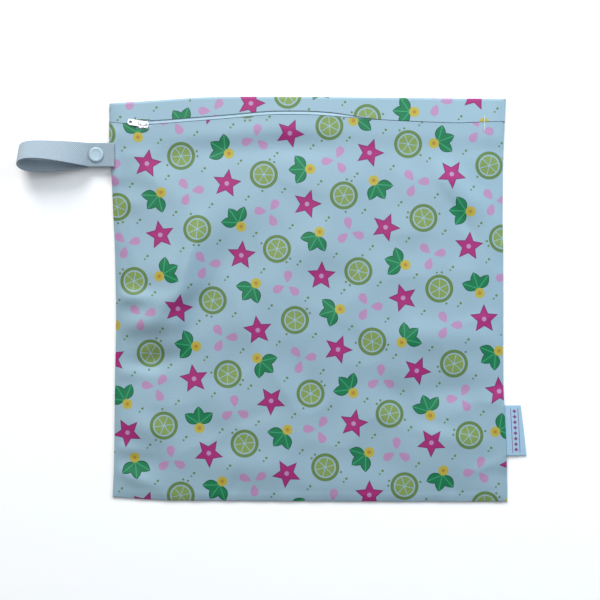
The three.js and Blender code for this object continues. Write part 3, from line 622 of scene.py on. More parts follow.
class Field:
    """A number at each point of a surface: a shader node's output, with plain sums on it."""

    def __init__(self, tree, socket):
        self.tree, self.socket = tree, socket

    def math(self, operation, *others):
        node = self.tree.nodes.new("ShaderNodeMath")
        node.operation = operation
        for entry, value in zip(node.inputs, (self, *others)):
            if isinstance(value, Field):
                self.tree.links.new(value.socket, entry)
            else:
                entry.default_value = value
        return Field(self.tree, node.outputs[0])

    __add__, __sub__ = partialmethod(math, "ADD"), partialmethod(math, "SUBTRACT")
    __mul__, __truediv__ = partialmethod(math, "MULTIPLY"), partialmethod(math, "DIVIDE")
    __abs__ = partialmethod(math, "ABSOLUTE")
    sine, cosine = partialmethod(math, "SINE"), partialmethod(math, "COSINE")
    least, most = partialmethod(math, "MINIMUM"), partialmethod(math, "MAXIMUM")

    def below(self, level, soft):
        """1 where the field is under the level, 0 above it, with a smooth step as wide as soft."""
        node = self.tree.nodes.new("ShaderNodeMapRange")
        node.interpolation_type = "SMOOTHSTEP"
        self.tree.links.new(self.socket, node.inputs["Value"])
        node.inputs["From Min"].default_value = level - soft / 2
        node.inputs["From Max"].default_value = level + soft / 2
        node.inputs["To Min"].default_value = 1
        node.inputs["To Max"].default_value = 0
        return Field(self.tree, node.outputs[0])


def new_material(name, **settings):
    """A Principled material, with the settings given put on the shader's own sockets."""
    material = bpy.data.materials.new(name)
    material.use_nodes = True
    tree = material.node_tree
    shader = tree.nodes["Principled BSDF"]
    for key, value in settings.items():
        shader.inputs[key.replace("_", " ")].default_value = value
    return material, tree, shader


def cloth_place(tree):
    """The two places on the cloth, in millimetres, from the piece's own UV map."""
    uv = tree.nodes.new("ShaderNodeUVMap")
    uv.uv_map = "cloth"
    parts = tree.nodes.new("ShaderNodeSeparateXYZ")
    tree.links.new(uv.outputs[0], parts.inputs[0])
    return Field(tree, parts.outputs[0]) * 1000, Field(tree, parts.outputs[1]) * 1000


def noise(tree, scale, detail=2.0, stretch=(1, 1, 1)):
    """Noise in Object coordinates, whose grain is about 1 / scale metres, stretched along each axis."""
    where = tree.nodes.new("ShaderNodeTexCoord")
    mapping = tree.nodes.new("ShaderNodeMapping")
    mapping.inputs["Scale"].default_value = stretch
    texture = tree.nodes.new("ShaderNodeTexNoise")
    texture.inputs["Scale"].default_value = scale
    texture.inputs["Detail"].default_value = detail
    tree.links.new(where.outputs["Object"], mapping.inputs[0])
    tree.links.new(mapping.outputs[0], texture.inputs["Vector"])
    return Field(tree, texture.outputs[0])


def blend_colour(tree, under, over, share):
    """The colour under, covered by the colour over where the share is 1."""
    node = tree.nodes.new("ShaderNodeMix")
    node.data_type = "RGBA"
    tree.links.new(share.socket, node.inputs[0])
    for entry, colour in ((node.inputs[6], under), (node.inputs[7], over)):
        if isinstance(colour, tuple):
            entry.default_value = colour
        else:
            tree.links.new(colour, entry)
    return node.outputs[2]


def add_bump(tree, shader, height, distance, strength=1.0):
    """Tilts the surface's normal by a height field, whose full height is the distance in metres."""
    bump = tree.nodes.new("ShaderNodeBump")
    bump.inputs["Strength"].default_value = strength
    bump.inputs["Distance"].default_value = distance
    tree.links.new(height.socket, bump.inputs["Height"])
    tree.links.new(bump.outputs[0], shader.inputs["Normal"])


def two_toned(name, low, high, scale, detail, bump=None, **settings):
    """A material whose colour runs between two tints with a noise, which may give it a bump of a distance
    and a strength too."""
    material, tree, shader = new_material(name, **settings)
    shade = noise(tree, scale, detail)
    tree.links.new(blend_colour(tree, tint(*low), tint(*high), shade), shader.inputs["Base Color"])
    if bump:
        add_bump(tree, shader, shade, *bump)
    return material


CLOTH_BLUE = tint(142, 169, 182)
EMERALD, EMERALD_DARK, EMERALD_PALE = tint(1, 110, 68), tint(1, 76, 47), tint(50, 144, 102)
MAGENTA, MAGENTA_DARK = tint(152, 30, 106), tint(122, 24, 90)
PETAL, OLIVE, OLIVE_DARK = tint(168, 128, 168), tint(118, 142, 76), tint(90, 118, 66)
YELLOW, AMBER = tint(170, 158, 60), tint(162, 124, 44)


def star(radius, angle):
    """A five-pointed star: radius * (cos w / tip + sin w * k) reaches 1 at its edge, where w is the angle
    from the nearest point, and k puts the edge through the inner corners too."""
    tip, inner, wedge = 12.6, 5.9, math.pi / 5
    k = (1 / inner - math.cos(wedge) / tip) / math.sin(wedge)
    w = abs((angle + wedge).math("FLOORED_MODULO", 2 * wedge) - wedge)
    edge = radius * (w.cosine() * (1 / tip) + w.sine() * k)
    return edge.below(1, 0.06), edge.below(0.84, 0.06), radius.below(1.9, 0.5)


def leaves(x, y):
    """Three leaves from one stalk: each lies along its own line, half as wide at t as 4.4 * 4t(1 - t)."""
    inside = vein = None
    for turn in (-54, 0, 54):
        c, s = math.cos(math.radians(turn)), math.sin(math.radians(turn))
        along, over = x * s + (y + 4.6) * c, abs(x * c - (y + 4.6) * s)
        t = along * (1 / 14.5)
        leaf = over - t * (t * -1 + 1) * 18.0
        rib = over.most(along * -1)
        inside = leaf if inside is None else inside.least(leaf)
        vein = rib if vein is None else vein.least(rib)
    return inside.below(0, 0.35), inside.below(-0.75, 0.35), vein.below(0.42, 0.35)


def petals(x, y):
    """Three drops round a middle, pointed inwards: half as wide at t as 9.6 t * sqrt(1 - t)."""
    inside = None
    for turn in (90, 210, 330):
        c, s = math.cos(math.radians(turn)), math.sin(math.radians(turn))
        t = (x * c + y * s - 1.8) * (1 / 10.6)
        drop = abs(y * c - x * s) - t * (t * -1 + 1).math("SQRT") * 9.6
        inside = drop if inside is None else inside.least(drop)
    return inside.below(-0.25, 0.4)


def dot(x, y, at_x, at_y, size):
    """A round dot of the given radius."""
    dx, dy = x - at_x, y - at_y
    return (dx * dx + dy * dy).math("SQRT").below(size, 0.3)


def scattered_print(tree, colour):
    """A lattice of cells turned by PRINT_TURN. Cell (i, j) holds motif (i + 2j) mod 4: a star, a sliced
    fruit, a sprig with a bud, or three petals, each turned and shifted at random, with dots between."""
    u, v = cloth_place(tree)
    c, s = math.cos(math.radians(PRINT_TURN)), math.sin(math.radians(PRINT_TURN))
    p, q = (u * c + v * s) / PRINT_PITCH, (v * c - u * s) / PRINT_PITCH
    i, j = p.math("FLOOR"), q.math("FLOOR")
    cell = tree.nodes.new("ShaderNodeCombineXYZ")
    tree.links.new(i.socket, cell.inputs[0])
    tree.links.new(j.socket, cell.inputs[1])
    chance = tree.nodes.new("ShaderNodeTexWhiteNoise")
    tree.links.new(cell.outputs[0], chance.inputs["Vector"])
    spread = tree.nodes.new("ShaderNodeSeparateXYZ")
    tree.links.new(chance.outputs["Color"], spread.inputs[0])
    turn = Field(tree, chance.outputs["Value"]) * math.tau
    dx = (p - i - 0.5) * PRINT_PITCH + (Field(tree, spread.outputs[0]) - 0.5) * PRINT_SHIFT
    dy = (q - j - 0.5) * PRINT_PITCH + (Field(tree, spread.outputs[1]) - 0.5) * PRINT_SHIFT
    x, y = dx * turn.cosine() + dy * turn.sine(), dy * turn.cosine() - dx * turn.sine()
    radius, angle = (x * x + y * y).math("SQRT"), y.math("ARCTAN2", x)
    kind = (i + j * 2).math("FLOORED_MODULO", 4)
    is_star, is_fruit, is_sprig, is_petals = (abs(kind - k).below(0.5, 0.1) for k in range(4))

    colour = blend_colour(tree, colour, PETAL, petals(x, y) * is_petals)

    rind = abs(radius - 10.4).below(1.35, 0.35)
    flesh = radius.below(7.9, 0.4) * (abs((angle * 3).sine()) * radius * -1).below(-0.95, 0.4)
    colour = blend_colour(tree, colour, OLIVE_DARK, rind * is_fruit)
    colour = blend_colour(tree, colour, OLIVE, flesh * is_fruit)
    seeds = dot(x, y, 13.4, 2.6, 0.95).most(dot(x, y, 13.6, -1.6, 0.95)).most(dot(x, y, -12.2, -6.4, 0.95))
    colour = blend_colour(tree, colour, OLIVE_DARK, seeds * is_fruit)

    leaf, inner_leaf, vein = leaves(x, y)
    colour = blend_colour(tree, colour, EMERALD_DARK, leaf * is_sprig)
    colour = blend_colour(tree, colour, EMERALD, inner_leaf * is_sprig)
    colour = blend_colour(tree, colour, EMERALD_PALE, vein * inner_leaf * is_sprig)
    colour = blend_colour(tree, colour, YELLOW, dot(x, y, 0, -8.4, 4.3) * is_sprig)
    colour = blend_colour(tree, colour, AMBER, dot(x, y, 0, -8.4, 1.6) * is_sprig)

    outer, inner, middle = star(radius, angle)
    colour = blend_colour(tree, colour, MAGENTA_DARK, outer * is_star)
    colour = blend_colour(tree, colour, MAGENTA, inner * is_star)
    colour = blend_colour(tree, colour, PETAL, middle * is_star)

    corner_x = (p - p.math("ROUND")) * PRINT_PITCH
    corner_y = (q - q.math("ROUND")) * PRINT_PITCH
    between = dot(corner_x, corner_y, 0.4, 1.2, 1.05).most(dot(corner_x, corner_y, -2.4, -0.9, 0.8))
    return blend_colour(tree, colour, OLIVE_DARK, between)


def printed_cloth():
    """Smooth laminated polyester: satin, with a faint grain along both threads, and the print."""
    material, tree, shader = new_material(
        "printed_cloth", Roughness=0.46, Specular_IOR_Level=0.36, Sheen_Weight=0.05, Sheen_Roughness=0.5
    )
    warp = noise(tree, 520, 2, (1, 0.22, 1))
    weft = noise(tree, 560, 2, (0.22, 1, 1))
    shade = noise(tree, 14, 3)
    ground = blend_colour(tree, CLOTH_BLUE, tint(137, 165, 181), shade)
    colour = scattered_print(tree, ground)
    tree.links.new(colour, shader.inputs["Base Color"])
    add_bump(tree, shader, warp + weft, 0.00016, 0.35)
    return material


def woven_webbing():
    """Lengthwise cords, each a row of floats that are shifted by half a float from one cord to the next. The
    colour darkens between the cords and where one float ends: painted shade in the weave's dips."""
    material, tree, shader = new_material(
        "webbing", Roughness=0.8, Specular_IOR_Level=0.2, Sheen_Weight=0.2, Sheen_Roughness=0.6
    )
    u, v = cloth_place(tree)
    cord = (v * (CORDS / WEBBING_WIDTH)).math("FLOOR")
    ends = abs((u * (math.pi / FLOAT) + cord * (math.pi / 2)).cosine()).math("POWER", 0.6)
    ridge = abs((v * (math.pi * CORDS / WEBBING_WIDTH)).sine()).math("POWER", 0.6)
    fuzz = noise(tree, 1500, 3)
    weave = ends * ridge
    # painted shade: the colour is darkest where the weave's height is least, between the cords and at the floats'
    # ends, with a random fuzz
    colour = blend_colour(tree, tint(92, 109, 123), tint(176, 192, 204), weave * 0.95 + fuzz * 0.3 - 0.1)
    tree.links.new(colour, shader.inputs["Base Color"])
    add_bump(tree, shader, weave + fuzz * 0.4, 0.00025, 0.6)
    return material


def zip_cloth():
    """The tape: a fine herringbone of slanted threads."""
    material, tree, shader = new_material("zip_tape", Roughness=0.7, Specular_IOR_Level=0.3, Sheen_Weight=0.15)
    u, v = cloth_place(tree)
    side = abs((v * (1 / 1.6)).math("FLOORED_MODULO", 2) - 1)
    slant = ((u * (math.tau / 0.9)) + side * 5.0).sine()
    fuzz = noise(tree, 1200, 2)
    colour = blend_colour(tree, tint(150, 178, 194), tint(190, 212, 224), (slant * 0.3 + fuzz * 0.6 + 0.1))
    tree.links.new(colour, shader.inputs["Base Color"])
    add_bump(tree, shader, slant * 0.5 + fuzz, 0.00012, 0.5)
    return material


def nickel():
    """Nickel plate with fine scratches and a slightly uneven polish."""
    material, tree, shader = new_material("nickel", Metallic=1.0)
    scratches = noise(tree, 900, 4, (0.15, 1, 1))
    cloud = noise(tree, 220, 2)
    colour = blend_colour(tree, tint(188, 192, 198), tint(222, 225, 230), cloud)
    tree.links.new(colour, shader.inputs["Base Color"])
    rough = scratches * 0.22 + 0.18
    tree.links.new(rough.socket, shader.inputs["Roughness"])
    add_bump(tree, shader, scratches, 0.00003, 0.4)
    return material


def label_satin():
    """Woven satin with a row of small plum diamonds down the middle of the part that shows."""
    material, tree, shader = new_material(
        "label_satin", Roughness=0.42, Specular_IOR_Level=0.45, Sheen_Weight=0.2, Sheen_Roughness=0.4
    )
    u, v = cloth_place(tree)
    threads = (v * (math.tau / 0.7)).sine()
    fuzz = noise(tree, 900, 2, (3, 0.4, 1))
    ground = blend_colour(tree, tint(144, 178, 202), tint(161, 191, 212), fuzz)
    row_x, pitch = 8.2, 4.6
    along = (v * (1 / pitch)).math("FLOORED_MODULO", 1) - 0.5
    diamond = abs(u - row_x) * (1 / 1.7) + abs(along) * (pitch / 1.75)
    colour = blend_colour(tree, ground, tint(122, 66, 118), diamond.below(1, 0.18) * abs(v).below(17.5, 0.2))
    line = abs(abs(u - row_x) - 3.1).below(0.28, 0.15) * abs(v).below(18.6, 0.2)
    colour = blend_colour(tree, colour, tint(128, 84, 130), line)
    tree.links.new(colour, shader.inputs["Base Color"])
    add_bump(tree, shader, threads * 0.4 + fuzz, 0.00008, 0.4)
    return material


PRINTED = printed_cloth()
WOVEN = woven_webbing()
TAPE_CLOTH = zip_cloth()
NYLON = two_toned(
    "zip_coil", (178, 202, 216), (206, 224, 234), 300, 2, Roughness=0.32, Specular_IOR_Level=0.5
)
NICKEL = nickel()
PLASTIC = two_toned(
    "snap_plastic", (158, 182, 195), (169, 190, 202), 1800, 2, (0.00003, 0.3),
    Roughness=0.38, Specular_IOR_Level=0.5, Subsurface_Weight=0.08, Subsurface_Scale=0.002,
)
SATIN = label_satin()
THREAD = two_toned("thread", (186, 200, 202), (222, 230, 226), 2600, 2, Roughness=0.55, Sheen_Weight=0.2)

# The cloth


def by_slider():
    """More places across the bag, in a 30 mm stretch about the slider where the lips of the cloth part."""
    return (np.linspace(SLIDER_X - 12, SLIDER_X + 18, 38) + HALF_WIDTH + 0.137) / BAG_WIDTH


def front_cloth():
    """A grid between the seams and the lower lip of the zip, closer together along its rolled edges. Its
    height is the panel's, less half the cloth, plus the cloth's own detail."""
    columns = spaced(BAG_WIDTH, 1.75, ROLL, ROLL)
    columns = np.sort(np.concatenate([columns, by_slider()]))[None, :]
    rows = spaced(BAG_HEIGHT * 0.94, 1.7, ROLL, ROLL)[:, None]
    nominal = BAG_WIDTH * (columns - 0.5)
    low, high = bottom_edge(nominal), lower_lip(nominal)
    y = mix(low, high, rows)
    x = across_bag(columns, y)
    rim = np.minimum(np.minimum(x - left_edge(y), right_edge(y) - x), np.minimum(y - low, high - y))
    z = front_height(x, y) + front_detail(x, y) - THIN / 2
    z = turned_down(x, y, z, np.minimum(in_from_seam(x, y), y - low))
    closed_cloth(
        "front_cloth", "front_panel", grid(x, y, z), rolled(rim, THIN), grid(x, y), PRINTED, "laminated_cloth",
        flat=(BAG_WIDTH / 1000, 0.325), held="laid", rests_on=["back_cloth"],
    )


def back_cloth():
    """The back lies on the floor with a slight unevenness, turns over the top fold in a half circle, and
    comes down the front as the band. The three stretches share their rows, and each point knows which way
    is out."""
    columns = spaced(BAG_WIDTH, 1.9, ROLL, ROLL)
    columns = np.sort(np.concatenate([columns, by_slider()]))[None, :]
    nominal = BAG_WIDTH * (columns - 0.5)
    bottom, middle_y, lip = bottom_edge(nominal), fold_middle(nominal), upper_lip(nominal)
    fold_radius = (zip_height(nominal, HALF_HEIGHT) - band_drop(nominal, middle_y)) / 2
    pinch_reach = 0.4 + 2 * SEAM_ROLL * (fold_radius - THIN)
    pinch = 1 - np.clip(BAG_WIDTH * np.minimum(columns, 1 - columns) / pinch_reach, 0, 1)
    fold_radius = mix(THIN, fold_radius, np.sqrt(1 - pinch * pinch))

    flat_rows = spaced(BAG_HEIGHT, 3.2, ROLL)[:-1, None]
    y_flat = mix(bottom, middle_y, flat_rows)
    x_flat = across_bag(columns, y_flat)
    from_rim = np.minimum(in_from_seam(x_flat, y_flat), y_flat - bottom)
    uneven = 0.3 * (1 + np.clip(ripples(7, 20, 30, 110, x_flat, y_flat), -1, 1))
    z_flat = THIN / 2 + uneven * ease_in(from_rim, 25) * ease_in(middle_y - y_flat, 25) + pucker(x_flat, y_flat)
    out_flat = np.zeros((*y_flat.shape, 3))
    out_flat[..., 2] = -1

    angles = (math.pi * (np.arange(15) / 14 - 0.5))[:, None]
    ring = fold_radius - THIN / 2
    y_fold = middle_y + (zip_height(nominal, HALF_HEIGHT) / 2 - THIN / 2) * np.cos(angles)
    z_fold = fold_radius + ring * np.sin(angles)
    flat_columns = np.broadcast_to(columns, y_fold.shape)
    x_fold = across_bag(flat_columns, y_fold)
    out_fold = np.stack([0 * y_fold, np.cos(angles) + 0 * y_fold, np.sin(angles) + 0 * y_fold], axis=-1)

    band_rows = spaced(16, 0.8, (), ROLL[:-2])[1:, None]
    y_band = mix(middle_y, lip, band_rows)
    x_band = across_bag(columns, y_band)
    z_band = front_height(x_band, y_band) - band_drop(x_band, y_band) - THIN / 2
    z_band = turned_down(x_band, y_band, z_band, in_from_seam(x_band, y_band))
    out_band = np.zeros((*y_band.shape, 3))
    out_band[..., 2] = 1

    x = np.concatenate([x_flat, x_fold, x_band])
    y = np.concatenate([y_flat, y_fold, y_band])
    z = np.concatenate([z_flat, z_fold, z_band])
    out = np.concatenate([out_flat, out_fold, out_band])
    v = np.concatenate([middle_y - y_flat + math.pi * ring, ring * (math.pi / 2 - angles), y_band - middle_y])
    from_ends = np.concatenate([y_flat - bottom, 9 + 0 * y_fold, y_band - lip])
    half = rolled(np.minimum(in_from_seam(x, y), from_ends), THIN)
    closed_cloth(
        "back_cloth", "back_panel", grid(x, y, z), half, grid(x + 47, v + 83), PRINTED, "laminated_cloth", out,
        flat=(BAG_WIDTH / 1000, 0.357), held="folded", rests_on=["floor"],
    )


# The zip


def zip_tape(side, name, node):
    """One tape: a strip under the cloth, raised along its inner edge by the coil beneath it, where the
    coil's turns show as slight ribs."""
    columns = mix(TAPE_STOPS, BAG_WIDTH - TAPE_STOPS, spaced(BAG_WIDTH, 0.42)[:, None]) / BAG_WIDTH
    nominal = BAG_WIDTH * (columns - 0.5)
    inner = mix(SLIDER_WIDTH / 4, 0.28, smooth(-SLIDER_PLATE, SLIDER_PLATE, nominal - SLIDER_X))
    share = spaced(10, 0.9, (0, 0.04, 0.12, 0.25, 0.45, 0.8, 1.2, 1.6, 2.0, 2.4), (0, 0.05, 0.2, 0.5))[None, :]
    out = mix(inner, TAPE_WIDTH, share)
    y = zip_line(nominal) + side * out
    x = across_bag(columns, y)
    has_coil = smooth(SLIDER_LENGTH / 2, SLIDER_LENGTH, nominal - SLIDER_X) * smooth(4, 0, nominal - COIL_END)
    bulge = np.sqrt(np.clip(1 - ((out - 1.3) / 1.3) ** 2, 0, 1))
    ribs = 0.86 + 0.14 * np.cos(math.tau * nominal / COIL_PITCH)
    z = front_height(x, y) - band_drop(x, y) - CLOTH - GAP - TAPE / 2 + 0.34 * bulge * ribs * has_coil
    z = z + TAPE_RISE * has_coil
    rim = np.minimum(np.minimum(out - inner, TAPE_WIDTH - out), in_from_seam(x, y) - TAPE_STOPS)
    half = rolled(rim, TAPE * 0.7)
    closed_cloth(
        name, node, grid(x, y, z), half, grid(x, side * out), TAPE_CLOTH, "zip_tape",
        flat=(BAG_WIDTH / 1000, TAPE_WIDTH / 1000), held="laid", rests_on=["back_cloth"],
    )


def zip_coil():
    """The coil's turns, one on each tape in turn: short nylon bars across the zip under the tapes' edges,
    each starting just past the middle line."""
    shape, faces = capsule(COIL_WIDTH + 0.5, 0.42)
    start, end = SLIDER_X + SLIDER_PLATE, COIL_END
    x = np.arange(start, end, COIL_PITCH / 2)
    side = np.where(np.arange(len(x)) % 2, 1.0, -1.0)
    y = zip_line(x) + side * (COIL_WIDTH / 2 + 0.02)
    rise = TAPE_RISE * smooth(SLIDER_LENGTH / 2, SLIDER_LENGTH, x - SLIDER_X)
    z = front_height(x, y) - CLOTH - GAP - TAPE - 0.2 + rise
    strewn("zip_coil", shape, faces, threads(x, y, z, 0, side), NYLON)


def end_tack():
    """The close stitches across the zip's right-hand end: threads side by side, each at a slight slant."""
    shape, faces = capsule(1.35, 0.2)
    offsets = np.linspace(-7.2, 4.5, 27)
    x = COIL_END + 0 * offsets
    y = zip_line(x) + offsets
    z = front_height(x, y) + 0.12
    slant = np.where(np.arange(len(x)) % 2, 0.16, -0.16)
    strewn("zip_end_tack", shape, faces, threads(x, y, z, np.cos(slant), np.sin(slant)), THREAD)


# The strap and its snap

LOWER_LAYER = SNAP_CAP + GAP + WEBBING / 2
SNAP_CORE = SOCKET + GAP + STUD_BASE
UPPER_LAYER = LOWER_LAYER + WEBBING + 2 * GAP + SNAP_CORE


def strap_stops():
    """The stops of the strap's middle line, as rows of x, y, z and lean: from the seam, under the snap,
    round the loop, over the snap and on to the free end. A leaning layer stands high enough for its lower
    edge to touch the floor."""
    flat = SNAP_DIAMETER / 2 + GAP
    reach = STRAP_REACH - SNAP_INSET
    sewn = CLOTH + GAP + WEBBING / 2

    def layer(row, side):
        out, spread, middle, lean_share = row
        lean = math.radians(LOOP_TILT * lean_share)
        half = spread * LOOP_HEIGHT / 2
        standing = (middle * LOOP_HEIGHT + WEBBING) / 2 * math.cos(lean)
        standing += WEBBING_WIDTH / 2 * math.sin(lean) + FLOOR_CLEARANCE
        y = STRAP_Y - LOOP_SAG * float(smooth(0, 0.6, out)) + side * half * math.sin(lean)
        return (SNAP_X - out * reach, y, standing + side * half * math.cos(lean), lean)

    free = STRAP_X + STRAP_OVERLAP
    beside = STRAP_Y + WEBBING_WIDTH * np.array([-0.5, 0, 0.5])
    on_front = float(front_height(free, beside).max()) + GAP + WEBBING / 2
    rows = [
        (STRAP_X + STRAP_SEWN_IN, STRAP_Y + STRAP_SKEW, sewn, 0),
        (STRAP_X + STRAP_SEWN_IN / 2, STRAP_Y + STRAP_SKEW, sewn, 0),
        (STRAP_X, STRAP_Y + STRAP_SKEW, sewn, 0),
        *((SNAP_X + k * flat, STRAP_Y, LOWER_LAYER, 0) for k in (1, 0, -1)),
        *(layer(row, -1) for row in LOOP_SHAPE),
        layer((1, 0, 1.05, 1), 0),
        *(layer(row, 1) for row in reversed(LOOP_SHAPE)),
        *((SNAP_X + k * flat, STRAP_Y, UPPER_LAYER, 0) for k in (-1, 0, 1)),
        (free - STRAP_OVERLAP / 2, STRAP_Y, on_front + GAP, 0),
        (free, STRAP_Y, on_front, 0),
    ]
    return np.array(rows, float)


def smooth_route(stops, steps):
    """A centripetal Catmull-Rom curve through the stops: each span is a cubic Hermite piece, whose end
    slopes weigh the neighbouring chords by the square roots of their lengths."""
    padded = np.vstack([2 * stops[0] - stops[1], stops, 2 * stops[-1] - stops[-2]])
    p0, p1, p2, p3 = padded[:-3], padded[1:-2], padded[2:-1], padded[3:]
    d0, d1, d2 = (np.sqrt(np.linalg.norm(b - a, axis=1))[:, None] for a, b in ((p0, p1), (p1, p2), (p2, p3)))
    m1 = ((p1 - p0) / d0 - (p2 - p0) / (d0 + d1) + (p2 - p1) / d1) * d1
    m2 = ((p2 - p1) / d1 - (p3 - p1) / (d1 + d2) + (p3 - p2) / d2) * d1
    t = np.linspace(0, 1, steps, endpoint=False)[None, :, None]
    p1, p2, m1, m2 = (a[:, None] for a in (p1, p2, m1, m2))
    inside = (2 * t**3 - 3 * t**2 + 1) * p1 + (3 * t**2 - 2 * t**3) * p2
    inside = inside + (t**3 - 2 * t**2 + t) * m1 + (t**3 - t**2) * m2
    return np.vstack([inside.reshape(-1, stops.shape[1]), stops[-1:]])


def strap_webbing():
    """A ribbon along the smooth route: its width leans as the stops say, and its faces carry the woven
    cords. A cord dips at its sides and where each float ends, so the thickness is least there."""
    stops = strap_stops()
    dense = smooth_route(stops[:, :3], 40)
    leans = np.interp(np.linspace(0, len(stops) - 1, len(dense)), np.arange(len(stops)), stops[:, 3])
    length = np.concatenate([[0], np.cumsum(np.linalg.norm(np.diff(dense, axis=0), axis=1))])
    at = spaced(length[-1], 0.48, (0, 0.1, 0.3, 0.6), (0, 0.1, 0.3, 0.6)) * length[-1]
    line = np.column_stack([np.interp(at, length, dense[:, k]) for k in range(3)])
    lean = np.interp(at, length, leans)
    kernel = np.hanning(11) / np.hanning(11).sum()
    lean = np.convolve(np.pad(lean, 5, mode="edge"), kernel, mode="valid")
    along = np.gradient(line, at, axis=0)
    along /= np.linalg.norm(along, axis=1)[:, None]
    width_way = np.column_stack([0 * lean, np.cos(lean), -np.sin(lean)])
    width_way -= along * np.einsum("ij,ij->i", width_way, along)[:, None]
    width_way /= np.linalg.norm(width_way, axis=1)[:, None]
    face_way = np.cross(along, width_way)
    side = (0, 0.03, 0.12, 0.3)
    v = spaced(WEBBING_WIDTH, WEBBING_WIDTH / CORDS / 4, side, side) * WEBBING_WIDTH
    ridge = np.abs(np.sin(math.pi * v * CORDS / WEBBING_WIDTH)) ** 0.6
    shift = np.floor(np.clip(v, 0.01, WEBBING_WIDTH - 0.01) * CORDS / WEBBING_WIDTH) / 2
    ends = np.abs(np.cos(math.pi * (at[:, None] / FLOAT + shift[None, :]))) ** 0.6
    edge = np.minimum(np.minimum(v, WEBBING_WIDTH - v)[None, :], np.minimum(at, at[-1] - at)[:, None])
    half = rolled(edge, WEBBING) + (0.12 * (ridge[None, :] - 1) + 0.1 * (ends - 1)) * smooth(0, 0.6, edge)
    middle = line[:, None] + width_way[:, None] * (v - WEBBING_WIDTH / 2)[None, :, None]
    closed_cloth(
        "strap_webbing", "strap", middle, half, grid(at[:, None], v[None, :]), WOVEN, "webbing", face_way[:, None],
        flat=(WEBBING_WIDTH / 1000, at[-1] / 1000), held="folded", rests_on=["floor", "front_cloth"],
    )


def snap_pieces():
    """The snap's four turned pieces, stacked about one upright line: a dished cap above and below, and
    between the webbing's two layers the stud and its socket."""
    radius, prong = SNAP_DIAMETER / 2, PRONG_DIAMETER / 2
    centre = np.array([SNAP_X, STRAP_Y, 0])
    core = LOWER_LAYER + WEBBING / 2 + GAP
    cap = [
        (0, 0.86), (0.36 * radius, 0.88), (0.6 * radius, 0.98), (0.68 * radius, 1.2), (0.8 * radius, 1.2),
        (0.95 * radius, 0.95), (radius, 0.5), (radius, 0.1), (0.96 * radius, 0), (prong, 0),
    ]

    def cap_profile(base, up, prong_length):
        rows = [*cap, (prong, -prong_length), (0, -prong_length)]
        return rounded([(r, base + up * h) for r, h in rows], 0.4)

    socket, foot = SOCKET_DIAMETER / 2, core + STUD_BASE + GAP
    stud_bore, bore = STUD_DIAMETER / 2 + GAP, prong + GAP
    socket_profile = [
        (bore, foot + SOCKET), (bore, foot + STUD_HEIGHT + GAP), (stud_bore, foot + STUD_HEIGHT + GAP),
        (stud_bore, foot), (socket, foot), (socket, foot + SOCKET),
    ]
    stud = STUD_DIAMETER / 2
    stud_profile = [
        (bore, core), (socket, core), (socket, core + STUD_BASE), (stud, core + STUD_BASE),
        (stud, core + STUD_BASE + STUD_HEIGHT), (bore, core + STUD_BASE + STUD_HEIGHT),
    ]
    profiles = {
        "snap_cap": cap_profile(UPPER_LAYER + WEBBING / 2 + GAP, 1, WEBBING + 0.5),
        "snap_back_cap": cap_profile(SNAP_CAP, -1, WEBBING + 0.5),
        "snap_socket": rounded(socket_profile, 0.3, True),
        "snap_stud": rounded(stud_profile, 0.25, True),
    }
    for node, profile in profiles.items():
        turned_piece(node + "_moulded", profile, centre, PLASTIC, node)


# The label


def label_cloth():
    """A folded ribbon pressed flat, from inside the seam to its fold: it droops to the floor, its fold is
    round, and its middle bows up a little."""
    out_share = spaced(LABEL_SEWN_IN + LABEL_REACH, 0.5, (0, 0.05, 0.2, 0.5), ROLL[:6])[None, :]
    up = spaced(LABEL_WIDTH, 0.7, ROLL[:6], ROLL[:6])[:, None]
    y = LABEL_Y + LABEL_WIDTH * (up - 0.5)
    reach = LABEL_REACH * mix(1, LABEL_TOP_SHARE, up)
    out = mix(-LABEL_SEWN_IN, reach, out_share)
    x = right_edge(y) + out
    bow = 0.5 * smooth(0, 6, out) * np.sin(math.pi * up) * np.sin(math.pi * np.clip(out / reach, 0, 1))
    z = CLOTH + GAP + LABEL / 2 - LABEL_DROOP * smooth(0, 1, out / reach) + bow
    rim = np.minimum(LABEL_WIDTH * np.minimum(up, 1 - up), np.minimum(out + LABEL_SEWN_IN, reach - out))
    closed_cloth(
        "label_ribbon", "side_label", grid(x, y, z), rolled(rim, LABEL), grid(out, y - LABEL_Y), SATIN, "label_satin",
        flat=((LABEL_SEWN_IN + LABEL_REACH) / 1000, LABEL_WIDTH / 1000), held="laid", rests_on=["back_cloth"],
    )


front_cloth()
back_cloth()
zip_tape(1, "zip_tape_above", "zip_tape_upper")
zip_tape(-1, "zip_tape_below", "zip_tape_lower")
zip_coil()
end_tack()
softened_node("zip_slider", "slider_body", 0.16, NICKEL, "bag")
softened_node("zip_pull", "pull_tab", 0.22, NICKEL, "pull")
strap_webbing()
snap_pieces()
label_cloth()

# The floor, the lights and the camera


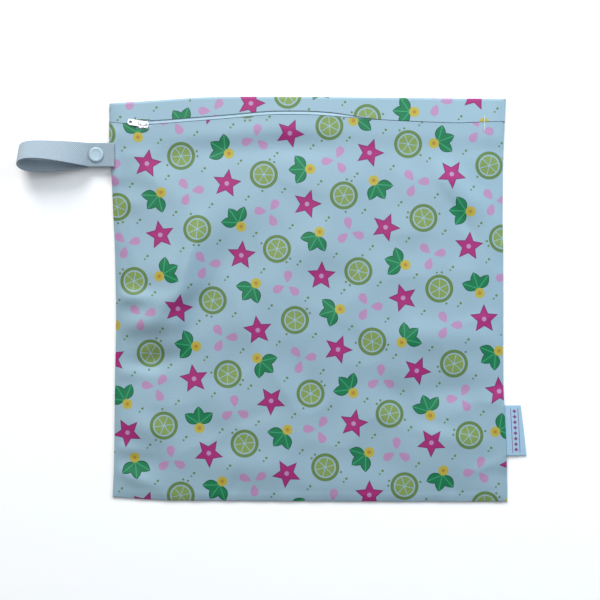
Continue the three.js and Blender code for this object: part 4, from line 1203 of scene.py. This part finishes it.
def pale_floor():
    """A wide pale sheet at the height that the bag lies on."""
    mesh = bpy.data.meshes.new("floor")
    mesh.from_pydata([(-3, -3, 0), (3, -3, 0), (3, 3, 0), (-3, 3, 0)], [], [(0, 1, 2, 3)])
    floor = bpy.data.objects.new("floor", mesh)
    bpy.context.collection.objects.link(floor)
    mesh.materials.append(
        two_toned("pale_floor", (251, 252, 253), (254, 254, 255), 40, 3, Roughness=0.85, Specular_IOR_Level=0.2)
    )


def area_light(name, at, aim, size, power, colour):
    """A square soft light at a place, facing the place it is aimed at."""
    data = bpy.data.lights.new(name, "AREA")
    data.size, data.energy, data.color = size, power, colour
    light = bpy.data.objects.new(name, data)
    bpy.context.collection.objects.link(light)
    x, y, z = (a - b for a, b in zip(aim, at))
    light.location = at
    light.rotation_euler = (math.atan2(math.hypot(x, y), -z), 0, math.atan2(x, -y) + math.pi)


pale_floor()
area_light("window", (-0.7, 2.05, 1.35), (0, 0, 0), 1.2, 60, (1.0, 0.985, 0.955))
area_light("overhead", (-0.1, 0.45, 1.6), (0, 0, 0), 0.8, 5.4, (0.97, 0.985, 1.0))
area_light("sky", (0.9, 0.7, 0.65), (0.05, 0, 0), 0.7, 11, (0.72, 0.88, 1.0))

world = bpy.data.worlds.new("studio")
world.use_nodes = True
background = world.node_tree.nodes["Background"].inputs
background["Color"].default_value, background["Strength"].default_value = (0.95, 0.97, 1.0, 1), 0.3
bpy.context.scene.world = world
bpy.context.scene.view_settings.view_transform = "Standard"

CAMERA_HEIGHT, PHOTO_SIDE = 1.25, 0.5046  # metres: the camera's height, and the floor's width in the photo
CAMERA_X, CAMERA_Y = 0.0224, -0.0007  # the photo's middle, in the model's frame
camera_data = bpy.data.cameras.new("camera")
camera_data.sensor_width = 36
camera_data.lens = camera_data.sensor_width * CAMERA_HEIGHT / PHOTO_SIDE
camera = bpy.data.objects.new("camera", camera_data)
bpy.context.collection.objects.link(camera)
camera.location = (CAMERA_X, CAMERA_Y, CAMERA_HEIGHT)
bpy.context.scene.camera = camera
